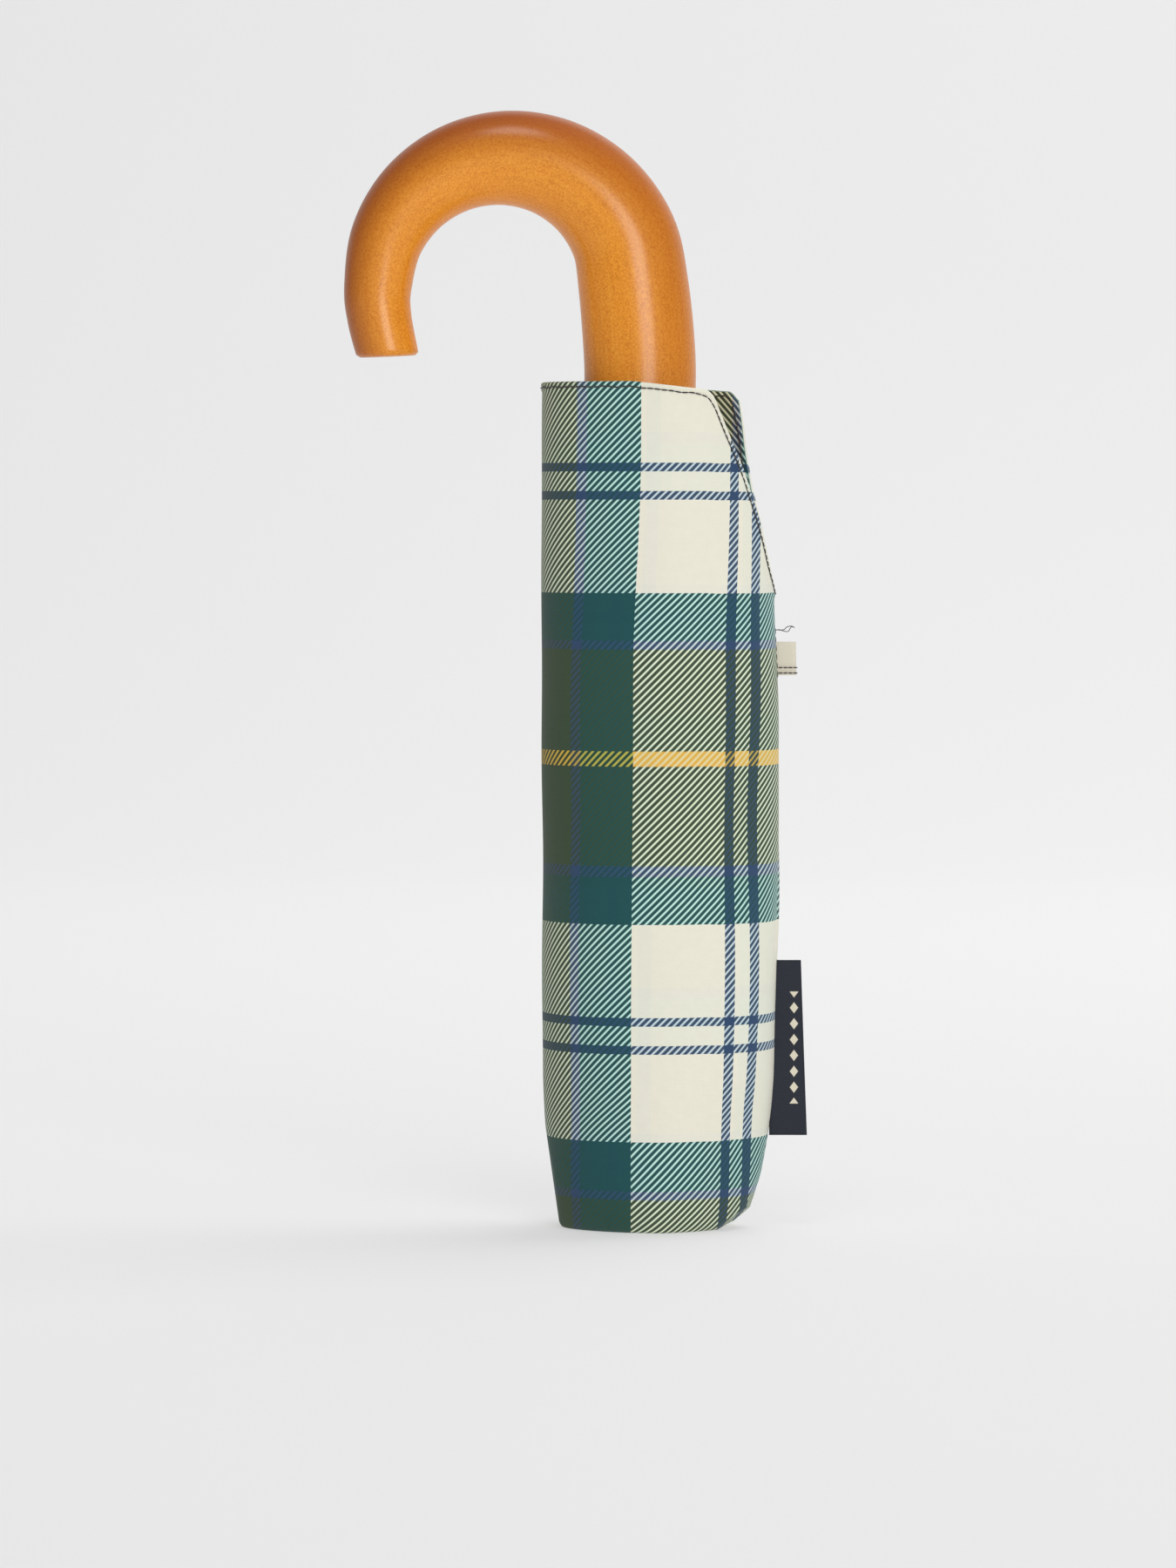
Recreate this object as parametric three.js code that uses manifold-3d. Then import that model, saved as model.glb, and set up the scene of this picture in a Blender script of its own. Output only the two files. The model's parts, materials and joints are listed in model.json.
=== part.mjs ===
// Folding umbrella with a wooden crook handle, stored upside down in its fabric sleeve.
// Millimetres, +Z up. The origin is on the floor, on the axis of the shaft.
// The crook opens towards -X, and the sleeve's seam, tab and label are on the +X side.

import * as THREE from 'three';
import { mergeVertices } from 'three/addons/utils/BufferGeometryUtils.js';
import Module from 'manifold-3d';

const wasm = await Module();
wasm.setup();

// ---------- driving sizes ----------

const seatGap = 0.3;            // between pieces that rest against each other
const slideGap = 0.35;          // between pieces that slide in each other, on the radius
const overshoot = 3;            // how far a cutting shape runs past what it cuts

const ribCount = 8;
const notchPivotHeight = 18;    // the ribs' hinges at the top notch, above the floor
const topRibLength = 160;       // hinge to hinge
const tipJointRise = 5;         // of the folded middle rib's far hinge above the notch hinges
const tipOverhang = 15;         // how much longer the tip rib is than the top rib
const stretcherSeat = 75;       // along the top rib, from the notch hinge to the stretcher's hinge
const runnerClear = 10;         // from the folded top rib's far hinge up to the runner's hinges
const barWidth = 2.2;
const barHeight = 2.2;
const barGap = 0.8;             // between a top rib and the stretcher beside it
const eyeRadius = 1.35;
const pinRadius = 0.5;
const lapLength = 2.6;          // from a hinge pin to where the bar has its whole width
const lapOverlap = 0.5;         // of a lap with the whole bar that it grows from
const pinSeat = 0.2;            // how far a hinge pin goes into the wall beside it
const ribStandOff = 0.55;       // from the runner's wall to the folded top ribs

const tubeWall = 0.75;
const outerTubeRadius = 6.5;
const outerTubeBottom = 12;
const outerTubeProud = 2;       // past the runner when the frame is folded
const tubeStep = 4;             // how much higher each inner tube starts
const bushHeight = 2.6;
const bushWall = 2;

const runnerWall = 1.65;
const runnerCrownWall = 5.6;
const runnerCrownHeight = 7;
const runnerSkirtWall = 2.8;
const runnerSkirtHeight = 8.5;
const buttonRadius = 2;
const buttonTravel = 1.5;
const buttonProud = 1.8;
const buttonClear = 0.15;       // left between the pressed button and the outer tube

const notchHeight = 7;
const notchDrop = 3.5;          // from the rib hinges to the notch's lower face
const capRadius = 11;
const capBottom = 2.3;
const capDome = [[0.42, 0], [0.72, 1.6], [0.92, 4.4], [1, 7.6]];   // share of the radius, rise

const ribClothThickness = 1.0;  // the folded canopy between the ribs
const hemClothThickness = 3.0;  // the folded canopy outside them
const clothEndGap = 6;          // from the folded canopy to the notch hinges
const clothJointGap = 4;        // and to the hinges between ribs
const hemDrop = 3;              // of the hem's cloth below the tip ribs' hinges
const packEdgeAngle = THREE.MathUtils.degToRad(3);   // free at each side of a pack of cloth
const strapThickness = 0.8;
const strapWidth = 18;
const strapInset = 12;          // from the strap to the tips of the ribs
const strapHalfAngle = THREE.MathUtils.degToRad(38);

const handleCover = 20.7;       // how much of the handle the sleeve covers
const sleeveWall = 1.2;
const sleeveFloor = 1.6;
const foldSlack = 1.8;          // air between the bundle and the sleeve's folded edge
const seamSlack = 13.4;         // air on the seam side
const depthSlack = 0.6;         // air in front and behind
const cornerHeight = 36;        // the rounded lower corners
const foldCorner = 8.0;         // how far each corner draws in at the floor
const seamCorner = 11.5;
const depthCorner = 5.5;
const seamTaper = 1.8;          // how far the seam edge leans in towards the floor
const sectionRoundness = 2.3;   // 2 is an ellipse, more is squarer
const mouthNotchDepth = 57.6;   // the cut-away at the seam, below the mouth
const mouthNotchBends = [[0.58, 0.46], [0.33, 0.68]];   // shares of its reach and of its depth
const mouthNotchStart = 2.4;    // where it leaves the upright, below the mouth
const frontCutReach = 18.8;     // from the seam edge to the cut's start at the mouth
const backCutReach = 11.7;

const labelBottom = 25.4;
const labelHeight = 48.4;
const labelReach = 8.6;
const labelThickness = 0.8;
const tabBottom = 152.4;
const tabHeight = 9.2;
const tabReach = 4.8;
const tabThickness = 1.0;

const shankRadius = 15.2;
const archTopRadius = 13.2;
const archEndRadius = 9.5;
const noseRadius = 8.4;
const shankStraight = 27.9;     // length of the handle before it starts to lean
const shankLength = 47.1;       // from the handle's lower end to the crook's centre
const crookRadius = 35.1;       // of the crook's centre line
const crookLean = 1.7;          // how far the shank leans over before the crook
const noseDrop = 19.2;          // from the crook's centre down to the nose
const noseTurnIn = 2.7;         // how far the nose comes back towards the shank
const boreDepth = 20;
const collarHeight = 3.4;
const collarRadius = 12;
const crossPinRadius = 1;
const crossPinHeight = 10;      // above the shank's lower end
const crossPinSink = 0.6;       // of each end below the wood's surface

// ---------- sizes that follow ----------

// how far from the shaft's axis the outer corners of a bar reach
function cornerRadius(radius) {
  return Math.hypot(radius + barHeight / 2, barShift + barWidth / 2);
}

const middleTubeRadius = outerTubeRadius - tubeWall - slideGap;
const innerTubeRadius = middleTubeRadius - tubeWall - slideGap;
const runnerBore = outerTubeRadius + seatGap;
const ribRadius = runnerBore + runnerWall + ribStandOff + barHeight / 2;
const barShift = (barWidth + barGap) / 2;
const crownClothRadius = cornerRadius(ribRadius) + seatGap;
const middleClothRadius = crownClothRadius + ribClothThickness + seatGap;
const topJointRadius = middleClothRadius - seatGap / 2;
const midRibRadius = middleClothRadius + ribClothThickness + seatGap + barHeight / 2;
const tipJointRadius = midRibRadius + barHeight / 2 + seatGap / 2;
const tipRibRadius = midRibRadius + barHeight + seatGap;
const hemClothRadius = cornerRadius(tipRibRadius) + seatGap;
const strapRadius = hemClothRadius + hemClothThickness + seatGap;
const bundleRadius = strapRadius + strapThickness;

const topJointHeight = notchPivotHeight + topRibLength;
const tipJointHeight = notchPivotHeight + tipJointRise;
const tipEndHeight = tipJointHeight + topRibLength + tipOverhang;
const stretcherSeatHeight = notchPivotHeight + stretcherSeat;
const runnerPivotHeight = topJointHeight + runnerClear;
const runnerCrownBottom = runnerPivotHeight - notchDrop;
const runnerCrownTop = runnerCrownBottom + runnerCrownHeight;
const runnerTop = runnerCrownTop + runnerSkirtHeight;

const outerTubeTop = runnerTop + outerTubeProud;
const outerBushBottom = outerTubeTop + seatGap;
const middleTubeTop = outerBushBottom + bushHeight + seatGap;
const middleBushBottom = middleTubeTop + seatGap;
const collarBottom = middleBushBottom + bushHeight + seatGap;
const handleBottom = collarBottom + collarHeight + seatGap;
const crookHeight = handleBottom + shankLength;
const sleeveHeight = handleBottom + handleCover;

const lugWidth = (barWidth - seatGap) / 2;
const holeRadius = pinRadius + seatGap;

const sleeveLeft = -(bundleRadius + foldSlack + sleeveWall);
const sleeveRight = bundleRadius + seamSlack + sleeveWall;
const sleeveHalfDepth = bundleRadius + depthSlack + sleeveWall;
const crownRadius = runnerBore + runnerCrownWall;
const skirtRadius = runnerBore + runnerSkirtWall;
const notchBottom = notchPivotHeight - notchDrop;

// ---------- materials ----------

function finish(color, roughness, metalness = 0) {
  return new THREE.MeshStandardMaterial({ color, roughness, metalness });
}

const cottonPrint = finish(0xe6e1d2, 0.9);
const herringboneTape = finish(0xe3dccb, 0.9);
const labelWeave = finish(0x232b3e, 0.85);
const canopyCloth = finish(0x2b5450, 0.7);
const varnishedWood = finish(0xc9781f, 0.35);
const polishedSteel = finish(0xc4c6c8, 0.3, 1);
const brightAluminium = finish(0xd2d4d6, 0.35, 1);
const blackPlastic = finish(0x1c1d1f, 0.45);

// ---------- solid helpers ----------

function toSolid(geometry) {
  const bare = geometry.clone();
  bare.deleteAttribute('normal');
  bare.deleteAttribute('uv');
  const merged = mergeVertices(bare, 1e-4);
  return new wasm.Manifold(new wasm.Mesh({
    numProp: 3,
    vertProperties: new Float32Array(merged.attributes.position.array),
    triVerts: new Uint32Array(merged.index.array),
  }));
}

function toGeometry(solid) {
  const { vertProperties, triVerts } = solid.getMesh();
  const geometry = new THREE.BufferGeometry();
  geometry.setAttribute('position', new THREE.BufferAttribute(vertProperties, 3));
  geometry.setIndex(new THREE.BufferAttribute(triVerts, 1));
  return geometry;
}

function join(...geometries) {
  const solids = geometries.map(toSolid);
  return toGeometry(solids.reduce((whole, piece) => whole.add(piece)));
}

function cut(body, ...tools) {
  return toGeometry(tools.map(toSolid).reduce((rest, tool) => rest.subtract(tool), toSolid(body)));
}

function block(fromX, toX, fromY, toY, fromZ, toZ) {
  const box = new THREE.BoxGeometry(toX - fromX, toY - fromY, toZ - fromZ);
  return box.translate((fromX + toX) / 2, (fromY + toY) / 2, (fromZ + toZ) / 2);
}

// a round rod along Y, as every hinge pin and eye in a rib's own plane is
function rodY(radius, x, fromY, toY, z, sides = 8) {
  const rod = new THREE.CylinderGeometry(radius, radius, toY - fromY, sides);
  return rod.rotateY(Math.PI / sides).translate(x, (fromY + toY) / 2, z);
}

// a ring turned about Z: its profile closes on itself
function ring(innerRadius, outerRadius, fromZ, toZ, sides = 24) {
  const profile = [
    new THREE.Vector2(innerRadius, fromZ),
    new THREE.Vector2(outerRadius, fromZ),
    new THREE.Vector2(outerRadius, toZ),
    new THREE.Vector2(innerRadius, toZ),
    new THREE.Vector2(innerRadius, fromZ),
  ];
  return new THREE.LatheGeometry(profile, sides).rotateX(Math.PI / 2);
}

// part of a ring about Z, centred on +X
function ringSector(innerRadius, outerRadius, halfAngle, fromZ, toZ) {
  const outline = new THREE.Shape();
  outline.absarc(0, 0, outerRadius, -halfAngle, halfAngle, false);
  outline.absarc(0, 0, innerRadius, halfAngle, -halfAngle, true);
  outline.closePath();
  const settings = { depth: toZ - fromZ, bevelEnabled: false, curveSegments: 8 };
  return new THREE.ExtrudeGeometry(outline, settings).translate(0, 0, fromZ);
}

const umbrella = new THREE.Group();

function add(name, geometry, material, turn = 0) {
  const mesh = new THREE.Mesh(geometry, material);
  mesh.name = name;
  mesh.rotation.z = turn;
  umbrella.add(mesh);
}

// ---------- sleeve ----------

// the share by which a rounded lower corner is drawn in at a height: 1 at the floor, 0 above it
function cornerShare(height) {
  const rise = THREE.MathUtils.clamp(height / cornerHeight, 0, 1);
  return (1 - rise ** 0.55) ** 1.3;
}

// flattened oval through the sleeve at a height, moved inwards by an inset
function sleevePoint(height, angle, inset) {
  const drawn = cornerShare(height);
  const left = sleeveLeft + foldCorner * drawn + inset;
  const leaning = seamTaper * (1 - THREE.MathUtils.smoothstep(height, 0, sleeveHeight / 2));
  const right = sleeveRight - leaning - seamCorner * drawn - inset;
  const halfDepth = sleeveHalfDepth - depthCorner * drawn - inset;
  const power = 2 / sectionRoundness;
  const across = Math.sign(Math.cos(angle)) * Math.abs(Math.cos(angle)) ** power;
  const along = Math.sign(Math.sin(angle)) * Math.abs(Math.sin(angle)) ** power;
  return new THREE.Vector2((left + right) / 2 + across * (right - left) / 2, along * halfDepth);
}

// a closed loft of sleeve sections, from one height to another, with its levels closer near the floor
function sleeveLoft(fromZ, toZ, inset) {
  const levels = 10;
  const sides = 32;
  const crowding = 2.2;
  const loft = new THREE.CylinderGeometry(1, 1, 1, sides, levels).rotateX(Math.PI / 2);
  const position = loft.attributes.position;
  for (let i = 0; i < position.count; i += 1) {
    const share = position.getZ(i) + 0.5;
    const height = fromZ + (toZ - fromZ) * share ** crowding;
    const reach = Math.hypot(position.getX(i), position.getY(i));
    const angle = Math.atan2(position.getY(i), position.getX(i));
    const edge = sleevePoint(height, angle, inset);
    const middle = (sleeveLeft + sleeveRight) / 2;
    position.setXYZ(i, middle + (edge.x - middle) * reach, edge.y * reach, height);
  }
  return loft;
}

// one side of the V cut out of the mouth at the seam: side is -1 for the front layer, 1 for the back
function mouthCut(reach, side) {
  const mouth = sleeveHeight + overshoot;
  const bends = mouthNotchBends.map(([reachShare, depthShare]) => new THREE.Vector2(
    sleeveRight - reach * reachShare,
    sleeveHeight - mouthNotchDepth * depthShare,
  ));
  const outline = new THREE.Shape([
    new THREE.Vector2(sleeveRight - reach, mouth),
    new THREE.Vector2(sleeveRight - reach, sleeveHeight - mouthNotchStart),
    ...bends,
    new THREE.Vector2(sleeveRight + 1, sleeveHeight - mouthNotchDepth),
    new THREE.Vector2(sleeveRight + 1, mouth),
  ]);
  const depth = sleeveHalfDepth + overshoot;
  const slab = new THREE.ExtrudeGeometry(outline, { depth, bevelEnabled: false });
  return slab.rotateX(Math.PI / 2).translate(0, side > 0 ? depth : 0, 0);
}

add('sleeve', cut(
  sleeveLoft(0, sleeveHeight, 0),
  sleeveLoft(sleeveFloor, sleeveHeight + overshoot, sleeveWall),
  mouthCut(frontCutReach, -1),
  mouthCut(backCutReach, 1),
), cottonPrint);

// a flat woven piece that stands out from the seam
function seamPiece(name, bottom, height, reach, thickness, material) {
  const start = sleevePoint(bottom + height, 0, 0).x + seatGap;
  const half = thickness / 2;
  add(name, block(start, start + reach, -half, half, bottom, bottom + height), material);
}

seamPiece('sleeve_label', labelBottom, labelHeight, labelReach, labelThickness, labelWeave);
seamPiece('sleeve_tab', tabBottom, tabHeight, tabReach, tabThickness, herringboneTape);

// ---------- telescopic shaft ----------

function tube(name, radius, fromZ, toZ, material, ...holes) {
  const wall = ring(radius - tubeWall, radius, fromZ, toZ);
  add(name, holes.length ? cut(wall, ...holes) : wall, material);
}

function bush(name, tubeRadius, fromZ) {
  const bore = tubeRadius + slideGap;
  add(name, ring(bore, bore + bushWall, fromZ, fromZ + bushHeight), blackPlastic);
}

const pinZ = handleBottom + crossPinHeight;
const pinReach = shankRadius - crossPinSink;
const pinHoleReach = shankRadius + overshoot;
const pinHole = rodY(crossPinRadius + seatGap, 0, -pinHoleReach, pinHoleReach, pinZ, 12);

tube('outer_tube', outerTubeRadius, outerTubeBottom, outerTubeTop, brightAluminium);
bush('outer_tube_bush', middleTubeRadius, outerBushBottom);
tube('middle_tube', middleTubeRadius, outerTubeBottom + tubeStep, middleTubeTop, polishedSteel);
bush('middle_tube_bush', innerTubeRadius, middleBushBottom);
const innerTubeTop = handleBottom + boreDepth - seatGap;
const innerTubeBottom = outerTubeBottom + 2 * tubeStep;
tube('inner_tube', innerTubeRadius, innerTubeBottom, innerTubeTop, polishedSteel, pinHole);

// ---------- crook handle ----------

// centre line in the XZ plane: straight shank, slight lean, half circle, short limb to the nose
function crookCurve() {
  const centreX = -(crookLean + crookRadius);
  const points = [
    new THREE.Vector3(0, 0, handleBottom),
    new THREE.Vector3(0, 0, handleBottom + shankStraight / 2),
    new THREE.Vector3(0, 0, handleBottom + shankStraight),
  ];
  const arcSteps = 8;
  for (let i = 0; i <= arcSteps; i += 1) {
    const angle = (Math.PI * i) / arcSteps;
    const x = centreX + crookRadius * Math.cos(angle);
    points.push(new THREE.Vector3(x, 0, crookHeight + crookRadius * Math.sin(angle)));
  }
  const noseX = centreX - crookRadius + noseTurnIn;
  points.push(new THREE.Vector3(noseX - noseTurnIn * 0.85, 0, crookHeight - noseDrop * 0.45));
  points.push(new THREE.Vector3(noseX, 0, crookHeight - noseDrop));
  return new THREE.CatmullRomCurve3(points, false, 'centripetal');
}

// the section's radius against the share of the centre line's length
const crookTaper = new THREE.SplineCurve([
  new THREE.Vector2(0, shankRadius),
  new THREE.Vector2(0.25, shankRadius),
  new THREE.Vector2(0.55, archTopRadius),
  new THREE.Vector2(0.87, archEndRadius),
  new THREE.Vector2(1, noseRadius),
]);

function crookRadiusAt(share) {
  let low = 0;
  let high = 1;
  while (high - low > 1e-5) {
    const middle = (low + high) / 2;
    if (crookTaper.getPoint(middle).x < share) low = middle;
    else high = middle;
  }
  return crookTaper.getPoint(low).y;
}

// a capped cylinder whose rings are carried along the centre line, which turns its faces inside out
function crookBody() {
  const curve = crookCurve();
  const rings = 34;
  const sides = 20;
  const body = new THREE.CylinderGeometry(1, 1, 1, sides, rings);
  const position = body.attributes.position;
  for (let i = 0; i < position.count; i += 1) {
    const share = THREE.MathUtils.clamp(position.getY(i) + 0.5, 0, 1);
    const centre = curve.getPointAt(share);
    const along = curve.getTangentAt(share);
    const radius = crookRadiusAt(share);
    const inPlane = position.getX(i) * radius;
    const x = centre.x + along.z * inPlane;
    const z = centre.z - along.x * inPlane;
    position.setXYZ(i, x, position.getZ(i) * radius, z);
  }
  return flipFaces(body);
}

// turns each triangle over, so that it faces the other way
function flipFaces(geometry) {
  const index = geometry.index.array;
  for (let i = 0; i < index.length; i += 3) {
    [index[i + 1], index[i + 2]] = [index[i + 2], index[i + 1]];
  }
  return geometry;
}

const boreRadius = innerTubeRadius + seatGap;
const bore = new THREE.CylinderGeometry(boreRadius, boreRadius, boreDepth + overshoot, 24);
bore.rotateX(Math.PI / 2).translate(0, 0, handleBottom + (boreDepth - overshoot) / 2);

add('handle', cut(crookBody(), bore, pinHole), varnishedWood);
const collarTop = handleBottom - seatGap;
add('handle_collar', ring(boreRadius, collarRadius, collarBottom, collarTop), polishedSteel);
add('handle_pin', rodY(crossPinRadius, 0, -pinReach, pinReach, pinZ, 12), polishedSteel);

// ---------- top notch, cap and runner ----------

// a slotted crown that holds one hinge pin across each slot
function slottedCrown(body, slotShift, pivotHeight, slotFloor, slotTop) {
  const slots = [];
  const pins = [];
  const half = barWidth / 2 + seatGap;
  const slotStart = ribRadius - eyeRadius - seatGap;
  const slotEnd = crownRadius + overshoot;
  for (let i = 0; i < ribCount; i += 1) {
    const turn = (i / ribCount) * Math.PI * 2;
    const slot = block(slotStart, slotEnd, slotShift - half, slotShift + half, slotFloor, slotTop);
    slots.push(slot.rotateZ(turn));
    const reach = half + pinSeat;
    const pin = rodY(pinRadius, ribRadius, slotShift - reach, slotShift + reach, pivotHeight);
    pins.push(pin.rotateZ(turn));
  }
  return join(cut(body, ...slots), ...pins);
}

const slotReach = eyeRadius + seatGap;

add('top_notch', slottedCrown(
  ring(runnerBore, crownRadius, notchBottom, notchBottom + notchHeight, 32),
  barShift,
  notchPivotHeight,
  notchPivotHeight - slotReach,
  notchBottom + notchHeight + overshoot,
), blackPlastic);

// a domed cap with a blind bore over the shaft's end
function capBody() {
  const top = notchBottom - seatGap;
  const boreFloor = outerTubeBottom - seatGap;
  const profile = [
    new THREE.Vector2(0, capBottom),
    ...capDome.map(([share, rise]) => new THREE.Vector2(capRadius * share, capBottom + rise)),
    new THREE.Vector2(capRadius, top),
    new THREE.Vector2(runnerBore, top),
    new THREE.Vector2(runnerBore, boreFloor),
    new THREE.Vector2(0, boreFloor),
  ];
  return new THREE.LatheGeometry(profile, 24).rotateX(Math.PI / 2);
}

add('top_cap', capBody(), blackPlastic);

const buttonHeight = (runnerCrownTop + runnerTop) / 2 + seatGap;

function runnerBody() {
  const profile = [
    new THREE.Vector2(runnerBore, runnerCrownBottom),
    new THREE.Vector2(crownRadius, runnerCrownBottom),
    new THREE.Vector2(crownRadius, runnerCrownTop),
    new THREE.Vector2(skirtRadius, runnerCrownTop),
    new THREE.Vector2(skirtRadius, runnerTop),
    new THREE.Vector2(runnerBore, runnerTop),
    new THREE.Vector2(runnerBore, runnerCrownBottom),
  ];
  const body = new THREE.LatheGeometry(profile, 32).rotateX(Math.PI / 2);
  const pocket = rodY(buttonRadius + seatGap, 0, -skirtRadius - overshoot, 0, buttonHeight, 16);
  return cut(body, pocket);
}

add('runner', slottedCrown(
  runnerBody(),
  -barShift,
  runnerPivotHeight,
  runnerCrownBottom - overshoot,
  runnerPivotHeight + slotReach,
), blackPlastic);

const buttonInner = runnerBore + buttonClear + buttonTravel;
const buttonOuter = skirtRadius + buttonProud;
const button = rodY(buttonRadius, 0, -buttonOuter, -buttonInner, buttonHeight, 16);
add('runner_button', button, polishedSteel);

// ---------- ribs and stretchers ----------
// Each bar is drawn in its own plane: X is outwards from the shaft and Y is across the bar.
// Hinges are half laps: the inner lap carries the pin and the outer lap turns on it.

const innerLap = [barShift - barWidth / 2, barShift - barWidth / 2 + lugWidth];
const outerLap = [barShift + barWidth / 2 - lugWidth, barShift + barWidth / 2];
const fullBar = [innerLap[0], outerLap[1]];

function bar(radius, fromZ, toZ, [fromY, toY] = fullBar) {
  return block(radius - barHeight / 2, radius + barHeight / 2, fromY, toY, fromZ, toZ);
}

function eye(x, z, [fromY, toY]) {
  return rodY(eyeRadius, x, fromY, toY, z);
}

function eyeHole(x, z) {
  return rodY(holeRadius, x, -barShift * 3, barShift * 3, z);
}

// the web that carries an eye beside its bar
function web(fromX, toX, z, [fromY, toY]) {
  return block(Math.min(fromX, toX), Math.max(fromX, toX), fromY, toY, z - eyeRadius, z + eyeRadius);
}

function topRib() {
  const body = join(
    bar(ribRadius, notchPivotHeight, topJointHeight - lapLength),
    eye(ribRadius, notchPivotHeight, fullBar),
    bar(ribRadius, topJointHeight - lapLength - lapOverlap, topJointHeight, innerLap),
    web(ribRadius, topJointRadius, topJointHeight, innerLap),
    eye(topJointRadius, topJointHeight, innerLap),
  );
  const pin = rodY(pinRadius, topJointRadius, innerLap[0] + pinSeat, outerLap[1], topJointHeight);
  return join(cut(body, eyeHole(ribRadius, notchPivotHeight)), pin);
}

function midRib() {
  const body = join(
    bar(midRibRadius, tipJointHeight + lapLength, topJointHeight - lapLength),
    bar(midRibRadius, topJointHeight - lapLength - lapOverlap, topJointHeight, outerLap),
    web(topJointRadius, midRibRadius, topJointHeight, outerLap),
    eye(topJointRadius, topJointHeight, outerLap),
    bar(midRibRadius, tipJointHeight, tipJointHeight + lapLength + lapOverlap, innerLap),
    eye(tipJointRadius, tipJointHeight, innerLap),
  );
  const pin = rodY(pinRadius, tipJointRadius, innerLap[0] + pinSeat, outerLap[1], tipJointHeight);
  return join(cut(body, eyeHole(topJointRadius, topJointHeight)), pin);
}

function tipRib() {
  const body = join(
    bar(tipRibRadius, tipJointHeight + lapLength, tipEndHeight),
    bar(tipRibRadius, tipJointHeight, tipJointHeight + lapLength + lapOverlap, outerLap),
    eye(tipJointRadius, tipJointHeight, outerLap),
  );
  return cut(body, eyeHole(tipJointRadius, tipJointHeight));
}

function stretcher() {
  const across = [-fullBar[1], -fullBar[0]];
  const body = join(
    bar(ribRadius, stretcherSeatHeight, runnerPivotHeight, across),
    eye(ribRadius, stretcherSeatHeight, across),
    eye(ribRadius, runnerPivotHeight, across),
  );
  return cut(body, eyeHole(ribRadius, stretcherSeatHeight), eyeHole(ribRadius, runnerPivotHeight));
}

const ribTurn = (Math.PI * 2) / ribCount;
const barMakers = { top_rib: topRib, mid_rib: midRib, tip_rib: tipRib, stretcher };
for (const [name, make] of Object.entries(barMakers)) {
  for (let i = 0; i < ribCount; i += 1) {
    add(`${name}_${i + 1}`, make(), polishedSteel, i * ribTurn);
  }
}

// ---------- folded canopy ----------
// Each pack of cloth is centred on every second rib and reaches to the ribs on both sides of it.

const packHalfAngle = ribTurn - packEdgeAngle;
const ribClothTop = topJointHeight - clothJointGap;
const packs = {
  crown_cloth: [crownClothRadius, ribClothThickness, notchPivotHeight + clothEndGap, ribClothTop],
  middle_cloth: [middleClothRadius, ribClothThickness, tipJointHeight + clothJointGap, ribClothTop],
  hem_cloth: [hemClothRadius, hemClothThickness, tipJointHeight - hemDrop, tipEndHeight],
};
for (const [name, [radius, thickness, fromZ, toZ]] of Object.entries(packs)) {
  for (let i = 0; i < ribCount / 2; i += 1) {
    const pack = ringSector(radius, radius + thickness, packHalfAngle, fromZ, toZ);
    add(`${name}_${i + 1}`, pack, canopyCloth, i * 2 * ribTurn);
  }
}

const strapTop = tipEndHeight - strapInset;
const strap = ringSector(strapRadius, bundleRadius, strapHalfAngle, strapTop - strapWidth, strapTop);
add('closing_strap', strap, canopyCloth, -Math.PI / 2);

export default umbrella;
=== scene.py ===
import json
import math
import bmesh
import bpy
import numpy as np
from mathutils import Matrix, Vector


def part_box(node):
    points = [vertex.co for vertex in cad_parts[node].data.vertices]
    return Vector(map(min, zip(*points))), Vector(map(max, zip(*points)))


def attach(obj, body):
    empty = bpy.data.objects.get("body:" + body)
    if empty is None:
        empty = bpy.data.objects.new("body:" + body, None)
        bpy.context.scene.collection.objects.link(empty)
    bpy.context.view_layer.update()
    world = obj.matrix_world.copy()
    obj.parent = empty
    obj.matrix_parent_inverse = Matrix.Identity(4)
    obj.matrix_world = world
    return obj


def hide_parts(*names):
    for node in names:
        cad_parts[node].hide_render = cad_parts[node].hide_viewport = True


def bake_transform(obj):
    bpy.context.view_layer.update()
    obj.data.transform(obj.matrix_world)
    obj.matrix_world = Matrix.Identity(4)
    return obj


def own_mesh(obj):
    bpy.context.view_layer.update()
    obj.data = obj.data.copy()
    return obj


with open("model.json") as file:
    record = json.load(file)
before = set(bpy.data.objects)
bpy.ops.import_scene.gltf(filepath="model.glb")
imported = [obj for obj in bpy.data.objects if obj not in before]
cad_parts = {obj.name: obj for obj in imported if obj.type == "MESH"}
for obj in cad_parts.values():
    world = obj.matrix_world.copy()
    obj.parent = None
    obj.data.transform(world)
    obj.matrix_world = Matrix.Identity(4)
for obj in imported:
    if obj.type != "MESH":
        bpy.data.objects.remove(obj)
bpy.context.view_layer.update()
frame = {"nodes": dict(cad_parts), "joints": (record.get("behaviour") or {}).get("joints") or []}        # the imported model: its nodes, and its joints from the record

millimetre = 0.001


# sRGB hex text to linear red, green, blue: the usual 2.4 power curve with its straight toe
def linearColour(hexText):
    values = np.array([int(hexText[i:i + 2], 16) / 255 for i in (1, 3, 5)])
    curved = np.where(values > 0.04045, ((values + 0.055) / 1.055) ** 2.4, values / 12.92)
    return (*curved.tolist(), 1.0)


# adds one node: settings are its own properties, sockets hold values or the outputs that feed them
def addNode(tree, kind, sockets=(), **settings):
    made = tree.nodes.new("ShaderNode" + kind)
    for key, value in settings.items():
        setattr(made, key, value)
    for key, value in dict(sockets).items():
        if isinstance(value, bpy.types.NodeSocket):
            tree.links.new(value, made.inputs[key])
        else:
            made.inputs[key].default_value = value
    return made


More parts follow.
